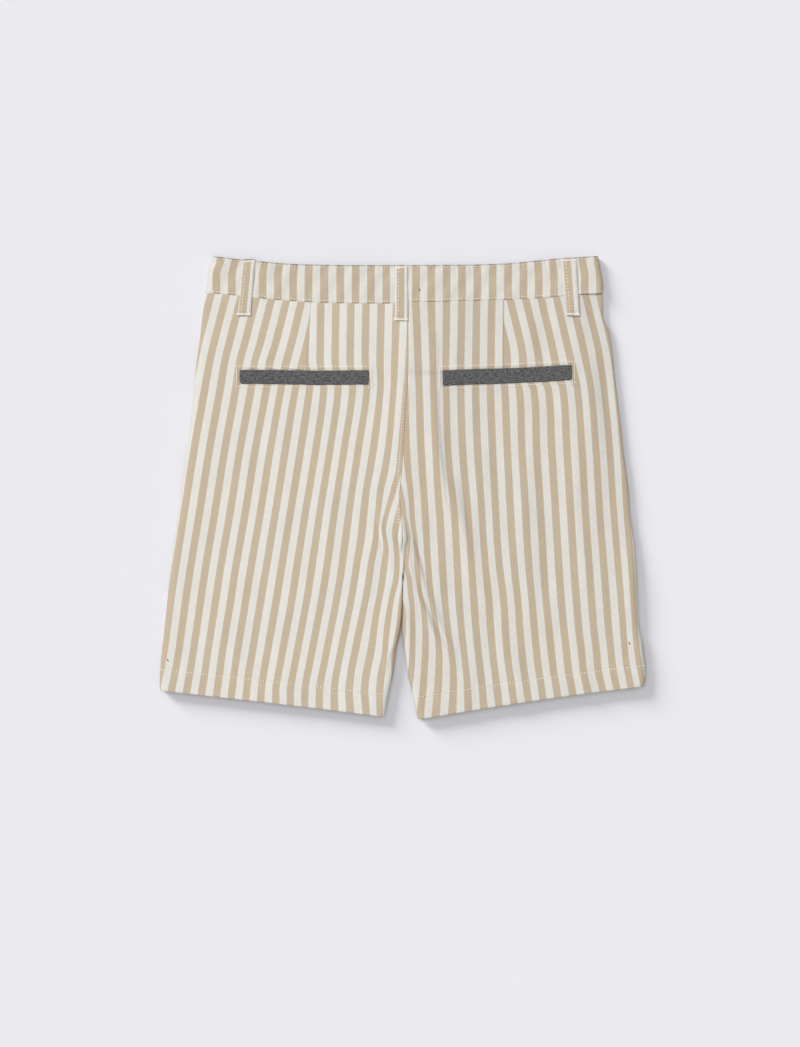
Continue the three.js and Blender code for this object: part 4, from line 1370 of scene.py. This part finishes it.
def stitch_tree():
    """Geometry Nodes: a row of stitches laid along each path."""
    tree = bpy.data.node_groups.get("stitch_rows")
    if tree:
        return tree
    tree = bpy.data.node_groups.new("stitch_rows", "GeometryNodeTree")
    face = tree.interface
    face.new_socket(name="Geometry", in_out="INPUT", socket_type="NodeSocketGeometry")
    for name in ("Pitch", "Length", "Thickness", "Turn"):
        face.new_socket(name=name, in_out="INPUT", socket_type="NodeSocketFloat")
    face.new_socket(name="Seed", in_out="INPUT", socket_type="NodeSocketInt")
    face.new_socket(name="Material", in_out="INPUT", socket_type="NodeSocketMaterial")
    face.new_socket(name="Geometry", in_out="OUTPUT", socket_type="NodeSocketGeometry")
    given = add_node(tree, "NodeGroupInput").outputs
    curve = add_node(tree, "GeometryNodeMeshToCurve", {"Mesh": given["Geometry"]})
    sockets = {"Curve": curve, "Length": given["Pitch"]}
    spaced = add_node(tree, "GeometryNodeResampleCurve", sockets, mode="LENGTH")
    bead = add_node(tree, "GeometryNodeMeshUVSphere", {"Segments": 7, "Rings": 5, "Radius": 1.0})
    halves = {}
    for name in ("Length", "Thickness"):
        sockets = {0: given[name], 1: 0.5}
        halves[name] = add_node(tree, "ShaderNodeMath", sockets, operation="MULTIPLY")
    # no two stitches are quite as long
    sockets = {2: 0.88, 3: 1.1, "Seed": given["Seed"]}
    uneven = add_node(tree, "FunctionNodeRandomValue", sockets, data_type="FLOAT").outputs[1]
    sockets = {0: halves["Length"], 1: uneven}
    long = add_node(tree, "ShaderNodeMath", sockets, operation="MULTIPLY")
    sockets = {0: long, 1: halves["Thickness"], 2: halves["Thickness"]}
    size = add_node(tree, "ShaderNodeCombineXYZ", sockets)
    tangent = add_node(tree, "GeometryNodeInputTangent")
    aim = add_node(
        tree,
        "FunctionNodeAxesToRotation",
        {0: tangent, 1: (0.0, 0.0, 1.0)},
        primary_axis="X",
        secondary_axis="Z",
    )
    sockets = {"Axis": (0.0, 0.0, 1.0), "Angle": given["Turn"]}
    spin = add_node(tree, "FunctionNodeAxisAngleToRotation", sockets)
    sockets = {"Rotation": aim, "Rotate By": spin}
    turned = add_node(tree, "FunctionNodeRotateRotation", sockets, rotation_space="LOCAL")
    sockets = {"Points": spaced, "Instance": bead, "Rotation": turned, "Scale": size}
    laid = add_node(tree, "GeometryNodeInstanceOnPoints", sockets)
    real = add_node(tree, "GeometryNodeRealizeInstances", {0: laid})
    sockets = {"Geometry": real, "Material": given["Material"]}
    painted = add_node(tree, "GeometryNodeSetMaterial", sockets)
    add_node(tree, "NodeGroupOutput", {0: painted})
    return tree


def stitched(name, paths, sizes, material, pitch=None, length=None, turn=0.0):
    """Stitches along paths of points in millimetres, as one plain mesh. Their
    pitch and length are in metres, and turn is how far each turns off its row."""
    points, edges = [], []
    for path in paths:
        start = len(points)
        points.extend((np.asarray(path) * MM).tolist())
        edges.extend((k, k + 1) for k in range(start, start + len(path) - 1))
    mesh = bpy.data.meshes.new(name + "_path")
    mesh.from_pydata(points, edges, [])
    guide = bpy.data.objects.new(name + "_path", mesh)
    bpy.context.scene.collection.objects.link(guide)
    tree = stitch_tree()
    modifier = guide.modifiers.new("stitches", "NODES")
    modifier.node_group = tree
    values = {
        "Pitch": pitch or sizes.stitch_pitch,
        "Length": length or sizes.stitch_length,
        "Thickness": sizes.thread_thickness,
        "Turn": turn,
        "Seed": sizes.seed,
        "Material": material,
    }
    for item in tree.interface.items_tree:
        if item.in_out == "INPUT" and item.name in values:
            modifier[item.identifier] = values[item.name]
    shown = guide.evaluated_get(bpy.context.evaluated_depsgraph_get())
    made = bpy.data.meshes.new_from_object(shown)
    made.name = name
    bpy.data.objects.remove(guide)
    return made


def joined(name, meshes):
    """Several meshes as one piece, smooth shaded."""
    pieces = []
    for mesh in meshes:
        piece = bpy.data.objects.new(mesh.name, mesh)
        bpy.context.scene.collection.objects.link(piece)
        pieces.append(piece)
    for piece in pieces:
        piece.select_set(True)
    bpy.context.view_layer.objects.active = pieces[0]
    if len(pieces) > 1:
        with bpy.context.temp_override(active_object=pieces[0], selected_editable_objects=pieces):
            bpy.ops.object.join()
    piece = pieces[0]
    piece.name = name
    piece.data.name = name
    piece.select_set(False)
    count = len(piece.data.polygons)
    piece.data.polygons.foreach_set("use_smooth", np.ones(count, bool))
    return piece


def sewn_line(points, step=1.0):
    """A finely divided line through a few points in plan."""
    points = np.asarray(points, float)
    run = np.concatenate([[0], np.cumsum(np.linalg.norm(np.diff(points, axis=0), axis=1))])
    at = np.linspace(0, run[-1], max(int(run[-1] / step), 2))
    return np.interp(at, run, points[:, 0]), np.interp(at, run, points[:, 1])


SUNK = 0.2  # how deep stitches lie in the cloth where it rests on the floor


def on_back(side, points, lift=0.12):
    """A line in plan laid on a back panel."""
    x, y = sewn_line(points)
    return np.stack([x, y, back_face(side, x, y) + lift], axis=-1)


def on_front(side, points):
    """A line in plan, sunk into the outside of a front panel so the floor is clear."""
    x, y = sewn_line(points)
    return np.stack([x, y, front_face(side, x, y) + SUNK], axis=-1)


def on_row(grid, normals, row, lift=0.12):
    """The line of one row of a surface, sunk into the cloth where it faces down."""
    down = normals[:, row, 2:] < -0.3
    return grid[:, row] + normals[:, row] * np.where(down, -SUNK, lift)


def all_loops():
    """Corners of every belt loop, and the way its outside faces."""
    made = [(strip_corners(*loop), 1) for loop in BACK_LOOPS.values()]
    for x in (-FRONT_LOOP_X, FRONT_LOOP_X):
        top = float(front_top(x)) - 0.5
        made.append((strip_corners((x, top), (x, top - LOOP_LENGTH)), -1))
    return made


# Finishing a piece


def dress(piece, material, node):
    """Gives a piece its material, unless it has one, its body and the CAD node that
    it replaces."""
    if material:
        piece.data.materials.append(material)
    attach(piece, "root")
    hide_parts(node)
    return piece


def sew(name, meshes):
    """Adds rows of stitches to the garment as one piece."""
    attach(joined(name, meshes), "root")


class ShortsSizes(bpy.types.PropertyGroup):
    """Sizes of the sewing that a maker would change."""

    stitch_pitch: FloatProperty(
        name="Stitch pitch",
        description="Distance from one stitch to the next",
        default=0.0027,
        unit="LENGTH",
    )
    stitch_length: FloatProperty(
        name="Stitch length",
        description="Thread that shows between two needle holes",
        default=0.0018,
        unit="LENGTH",
    )
    thread_thickness: FloatProperty(
        name="Thread thickness",
        description="Thickness of the thread, a little over its real 0.4 mm so that it shows",
        default=0.0008,
        unit="LENGTH",
    )
    seed: IntProperty(name="Seed", description="Seed of the uneven stitches", default=4)


class ShortsColours(bpy.types.PropertyGroup):
    """Colours of the cloths, thread, button and floor."""

    cream: FloatVectorProperty(
        name="Cream", description="Cream stripe", subtype="COLOR", default=linear("#E0DED6")
    )
    beige: FloatVectorProperty(
        name="Beige", description="Beige stripe", subtype="COLOR", default=linear("#C5B49C")
    )
    chambray_dark: FloatVectorProperty(
        name="Chambray dark",
        description="Dark yarn of the pocket welts",
        subtype="COLOR",
        default=linear("#3D3D3E"),
    )
    chambray_pale: FloatVectorProperty(
        name="Chambray pale",
        description="Pale yarn of the pocket welts",
        subtype="COLOR",
        default=linear("#787776"),
    )
    thread: FloatVectorProperty(
        name="Thread", description="Sewing thread", subtype="COLOR", default=linear("#F3EFE5")
    )
    dark_thread: FloatVectorProperty(
        name="Dark thread",
        description="Trimmed thread ends",
        subtype="COLOR",
        default=linear("#4A3B2E"),
    )
    horn: FloatVectorProperty(
        name="Horn", description="Dark cloud of the button", subtype="COLOR", default=linear("#A88E66")
    )
    horn_pale: FloatVectorProperty(
        name="Horn pale",
        description="Pale cloud of the button",
        subtype="COLOR",
        default=linear("#C9B48F"),
    )
    zip_tape: FloatVectorProperty(
        name="Zip tape", description="Tape and coil of the zip", subtype="COLOR", default=linear("#CFC6B2")
    )
    floor: FloatVectorProperty(
        name="Floor", description="Studio paper under the shorts", subtype="COLOR", default=linear("#E7E6EB")
    )


class SHORTS_OT_leg_panels(bpy.types.Operator):
    """Cut and lay the two back and two front leg panels."""

    bl_idname = "shorts.leg_panels"
    bl_label = "Leg panels"

    def execute(self, context):
        material = material_once("striped cotton twill", context)
        for side, hand in HANDS.items():
            for layer in ("front", "back"):
                piece = leg_panel(side, layer)
                dress(piece, material, f"{layer}_{hand}")
        return {"FINISHED"}


class SHORTS_OT_waistband(bpy.types.Operator):
    """Fold the waistband round the waist, its ends lapped at the front."""

    bl_idname = "shorts.waistband"
    bl_label = "Waistband"

    def execute(self, context):
        material = material_once("striped cotton twill", context)
        piece = dress(band_piece(), material, "waistband")
        return {"FINISHED"}


class SHORTS_OT_belt_loops(bpy.types.Operator):
    """Lay three belt loops on the back and two under the front."""

    bl_idname = "shorts.belt_loops"
    bl_label = "Belt loops"

    def execute(self, context):
        material = material_once("striped cotton twill", context)
        names = (*BACK_LOOPS, "loop_front_left", "loop_front_right")
        for name, (corners, facing) in zip(names, all_loops()):
            under = back_loop_under if facing > 0 else front_loop_under
            piece = belt_loop(name, corners, under, facing)
            dress(piece, material, name)
        return {"FINISHED"}


class SHORTS_OT_button_and_zip(bpy.types.Operator):
    """Set the button under the waistband's overlap and the zip behind the fly."""

    bl_idname = "shorts.button_and_zip"
    bl_label = "Button and zip"

    def execute(self, context):
        sizes = context.scene.shorts_sizes
        horn = material_once("horn-look polyester", context)
        dress(button_piece(), horn, "button")
        tape_material = material_once("woven zip tape", context)
        coil = material_once("beige zip coil", context)
        middle = (ZIP_LOW + ZIP_HIGH) / 2
        # each tape lies from the half gap out to the zip's edge
        half_gap = 0.4
        width = ZIP_WIDTH / 2 - half_gap
        for side, hand in HANDS.items():
            x = ZIP_X + side * (half_gap + width / 2)
            corners = strip_corners((x, ZIP_TOP), (x, ZIP_BOTTOM), (width, width))
            tape = slab(f"zip_tape_{hand}", corners, middle - 0.3, middle + 0.3)
            dress(tape, tape_material, "fly_zip")
        path = [(ZIP_X, ZIP_TOP - 2, middle), (ZIP_X, ZIP_BOTTOM + 2, middle)]
        teeth = stitched(
            "zip_teeth", [path], sizes, coil, pitch=0.0011, length=CHAIN_WIDTH * MM, turn=math.pi / 2
        )
        dress(joined("zip_coil", [teeth]), None, "fly_zip")
        slider_corners = strip_corners((ZIP_X, ZIP_TOP), (ZIP_X, ZIP_TOP - 9), (8, 6))
        slider = slab("zip_slider", slider_corners, ZIP_LOW, ZIP_HIGH)
        dress(slider, coil, "fly_zip")
        return {"FINISHED"}


class SHORTS_OT_pocket_welts(bpy.types.Operator):
    """Set the dark grey welts into the two back pockets."""

    bl_idname = "shorts.pocket_welts"
    bl_label = "Pocket welts"

    def execute(self, context):
        material = material_once("dark grey melange chambray", context)
        for name, corners in WELTS.items():
            piece = dress(welt_piece(name, corners), material, name)
        return {"FINISHED"}


FLOOR_HALF = 6000.0
FLOOR_HEIGHT = -0.3
SKY_STRENGTH = 0.32
# The photo was taken from about 3 m straight above, in metres here
CAMERA_PLACE = (-0.0018, -0.03195, 3.003)
CAMERA_LENS = 114.6


class SHORTS_OT_stage(bpy.types.Operator):
    """Lay the pale floor, hang the soft lights and set the camera overhead."""

    bl_idname = "shorts.stage"
    bl_label = "Floor, lights and camera"

    def execute(self, context):
        scene = context.scene
        paper = material_once("pale studio paper", context)
        x, y, z = FLOOR_HALF, FLOOR_HALF, FLOOR_HEIGHT
        corners = [(-x, -y, z), (x, -y, z), (x, y, z), (-x, y, z)]
        floor = mesh_object("studio_floor", corners, [[0, 1, 2, 3]])
        floor.data.materials.append(paper)
        world = bpy.data.worlds.new("soft studio")
        world.use_nodes = True
        background = world.node_tree.nodes["Background"]
        background.inputs["Color"].default_value = (1, 1, 1, 1)
        background.inputs["Strength"].default_value = SKY_STRENGTH
        scene.world = world
        # the lowest light falls on the paper only, where it draws the long soft
        # shadow, and a steeper one from the same side shapes the cloth. A faint
        # wide one from above lifts the shade on the paper
        paper_only = bpy.data.collections.new("paper_only")
        paper_only.objects.link(floor)
        cloth_only = bpy.data.collections.new("cloth_only")
        for piece in scene.collection.objects:
            if piece.type == "MESH" and piece != floor:
                cloth_only.objects.link(piece)
        # name, strength, spread, height and heading in degrees, what it falls on
        suns = [
            ("overhead_softbox", 0.825, 60, 80, 234, None),
            ("window_on_paper", 4.35, 20, 16.1, 228, paper_only),
            ("window_on_cloth", 2.05, 20, 42, 234, cloth_only),
            ("ceiling_on_paper", 0.155, 100, 85, 234, paper_only),
            ("white_wall", 0.26, 60, 20, 54, None),
        ]
        for name, energy, spread, height, heading, target in suns:
            light = bpy.data.lights.new(name, "SUN")
            light.energy = energy
            light.angle = math.radians(spread)
            lamp = bpy.data.objects.new(name, light)
            lamp.rotation_euler = (math.radians(90 - height), 0, math.radians(heading))
            scene.collection.objects.link(lamp)
            if target:
                lamp.light_linking.receiver_collection = target
        camera_data = bpy.data.cameras.new("overhead_camera")
        camera_data.sensor_width = 36
        camera_data.lens = CAMERA_LENS
        camera = bpy.data.objects.new("overhead_camera", camera_data)
        camera.location = CAMERA_PLACE
        scene.collection.objects.link(camera)
        scene.camera = camera
        scene.view_settings.view_transform = "Standard"
        return {"FINISHED"}


class SHORTS_OT_stitches(bpy.types.Operator):
    """Sew every visible row: waistband, hems, pockets, loops and seams."""

    bl_idname = "shorts.stitches"
    bl_label = "Stitches"

    def execute(self, context):
        sizes = context.scene.shorts_sizes
        thread = material_once("cream sewing thread", context)

        def rows(name, paths, **more):
            return stitched(name, paths, sizes, thread, **more)

        def satin(name, paths, width, pitch=0.0005):
            return rows(name, paths, pitch=pitch, length=width, turn=math.pi / 2)

        outer, _, normals = band_surface()
        top_row = int(np.argmin(np.abs(BAND_ROWS - BAND_TOP_STITCH)))
        low_row = int(np.argmin(np.abs(BAND_ROWS - BAND_LOW_STITCH)))
        band_paths = [on_row(outer, normals, top_row), on_row(outer, normals, low_row, 0.2)]
        hole = [(-8.5, -1.2), (8.5, -1.2), (9.3, 0), (8.5, 1.2), (-8.5, 1.2), (-9.3, 0), (-8.5, -1.2)]
        hole_x, hole_y = sewn_line(hole, 0.5)
        hole_z = overlap_lift(hole_x) + 0.35
        hole_path = [np.stack([hole_x, hole_y + BUTTON_Y, hole_z], axis=-1)]
        buttonhole = satin("buttonhole", hole_path, 0.0013)
        sew("stitches_waistband", [rows("band_rows", band_paths), buttonhole])

        hem_paths = []
        for side in HANDS:
            for layer in ("back", "front"):
                grid, normal = panel_surface(side, layer)
                middle = grid.shape[0] // 2
                above = grid[middle, :, 1] - hem_lines[side](grid[middle, :, 0])
                row = int(np.argmin(np.abs(above - HEM_DEPTH)))
                hem_paths.append(on_row(grid, normal, row))
        sew("stitches_hems", [rows("hem_rows", hem_paths)])

        # a row above and below each welt, and a tack beside each of its ends
        above, below, beyond, beside = 3.5, 2.3, 3, 2.6
        tack_above, tack_below = 2.5, 1.5
        welt_paths, tack_paths = [], []
        for side, corners in zip(HANDS, WELTS.values()):
            (x0, y0), (x1, y1), (_, y2), (_, y3) = corners
            high = [(x0 - beyond, y0 + above), (x1 + beyond, y1 + above)]
            low = [(x0 - beyond, y2 - below), (x1 + beyond, y3 - below)]
            welt_paths += [on_back(side, high), on_back(side, low)]
            for x, bottom, top in ((x0 - beside, y2, y0), (x1 + beside, y3, y1)):
                tack = [(x, bottom - tack_below), (x, top + tack_above)]
                tack_paths.append(on_back(side, tack, 0.2))
        tacks = rows("welt_tacks", tack_paths, pitch=0.0014, length=0.0016)
        sew("stitches_welts", [rows("welt_rows", welt_paths), tacks])

        loop_paths, tack_paths = [], []
        for corners, facing in all_loops():
            for across in (3, LOOP_WIDTH - 2):
                loop_paths.append(on_loop(corners, (across, 3), (across, LOOP_LENGTH - 3), facing))
            # the lower tacks of the back loops begin beside the loop
            start = -0.9 if facing > 0 else 0.3
            for first, down in ((0.3, 1.8), (start, LOOP_LENGTH - 1.6)):
                last = LOOP_WIDTH - 0.3
                tack_paths.append(on_loop(corners, (first, down), (last, down), facing, 0.15))
        loop_rows = rows("loop_rows", loop_paths, pitch=0.003, length=0.0018)
        sew("stitches_loops", [loop_rows, satin("loop_tacks", tack_paths, 0.0017)])

        # the row beside the centre seam runs out at the crotch, next to a short one
        seam_y = np.arange(160, -8, -2.0)
        seam = np.stack([centre_back(seam_y) - SEAM_ROW, seam_y], axis=-1).tolist()
        seam += [(-3.2, -12), (-3.7, -20), (-4.1, -31)]
        short = [(-2.6, -19), (-2.4, -31)]
        # the row round the fly curves in to the front seam
        fly = [(-32.0, y) for y in np.arange(156, 60, -3.0)]
        fly += [(-30, 54), (-25, 46), (-17, 39), (-8, 35), (-1.5, 33)]
        crotch = [(-1.6, y) for y in np.arange(30, -48, -3.0)]
        seam_paths = [on_back(-1, seam), on_back(-1, short), on_front(-1, fly), on_front(-1, crotch)]
        sew("stitches_seams", [rows("seam_rows", seam_paths)])

        button_paths = []
        for along in (-HOLE_PLACE, HOLE_PLACE):
            places = BUTTON_Y + np.linspace(along - 0.3, along + 0.3, 3)
            button_paths.append([(0, y, 0.35) for y in places])
        button_thread = rows("button_rows", button_paths, pitch=0.0003, length=0.0036, turn=math.pi / 2)
        sew("stitches_button", [button_thread])

        dark = material_once("dark thread end", context)
        ends = []
        for x, y in THREAD_ENDS:
            end = [(x - 0.2, y + 0.5), (x + 0.2, y - 0.5)]
            ends.append(on_back(-1 if x < 0 else 1, end, 0.2))
        specks = stitched("thread_specks", ends, sizes, dark, pitch=0.0003, length=0.0016)
        sew("thread_ends", [specks])
        return {"FINISHED"}


class SHORTS_PT_panel(bpy.types.Panel):
    """Lists the shorts' pieces, sizes and colours in the sidebar."""

    bl_label = "Shorts"
    bl_idname = "SHORTS_PT_panel"
    bl_space_type = "VIEW_3D"
    bl_region_type = "UI"
    bl_category = "Shorts"

    def draw(self, context):
        for group in (context.scene.shorts_sizes, context.scene.shorts_colours):
            for name in group.bl_rna.properties.keys():
                if name not in ("rna_type", "name"):
                    self.layout.prop(group, name)
        for operator in OPERATORS:
            self.layout.operator(operator.bl_idname)


OPERATORS = (
    SHORTS_OT_leg_panels,
    SHORTS_OT_waistband,
    SHORTS_OT_belt_loops,
    SHORTS_OT_pocket_welts,
    SHORTS_OT_button_and_zip,
    SHORTS_OT_stitches,
    SHORTS_OT_stage,
)
CLASSES = (ShortsSizes, ShortsColours, *OPERATORS, SHORTS_PT_panel)


def register():
    """Adds the operators, the panel and the groups of sizes and colours."""
    for each in CLASSES:
        bpy.utils.register_class(each)
    bpy.types.Scene.shorts_sizes = PointerProperty(type=ShortsSizes)
    bpy.types.Scene.shorts_colours = PointerProperty(type=ShortsColours)


def unregister():
    """Takes away what register added."""
    del bpy.types.Scene.shorts_colours
    del bpy.types.Scene.shorts_sizes
    for each in reversed(CLASSES):
        bpy.utils.unregister_class(each)


def main():
    """Makes every piece and the stage."""
    register()
    bpy.ops.shorts.leg_panels()
    bpy.ops.shorts.waistband()
    bpy.ops.shorts.belt_loops()
    bpy.ops.shorts.pocket_welts()
    bpy.ops.shorts.button_and_zip()
    bpy.ops.shorts.stitches()
    bpy.ops.shorts.stage()


if __name__ == "__main__":
    main()
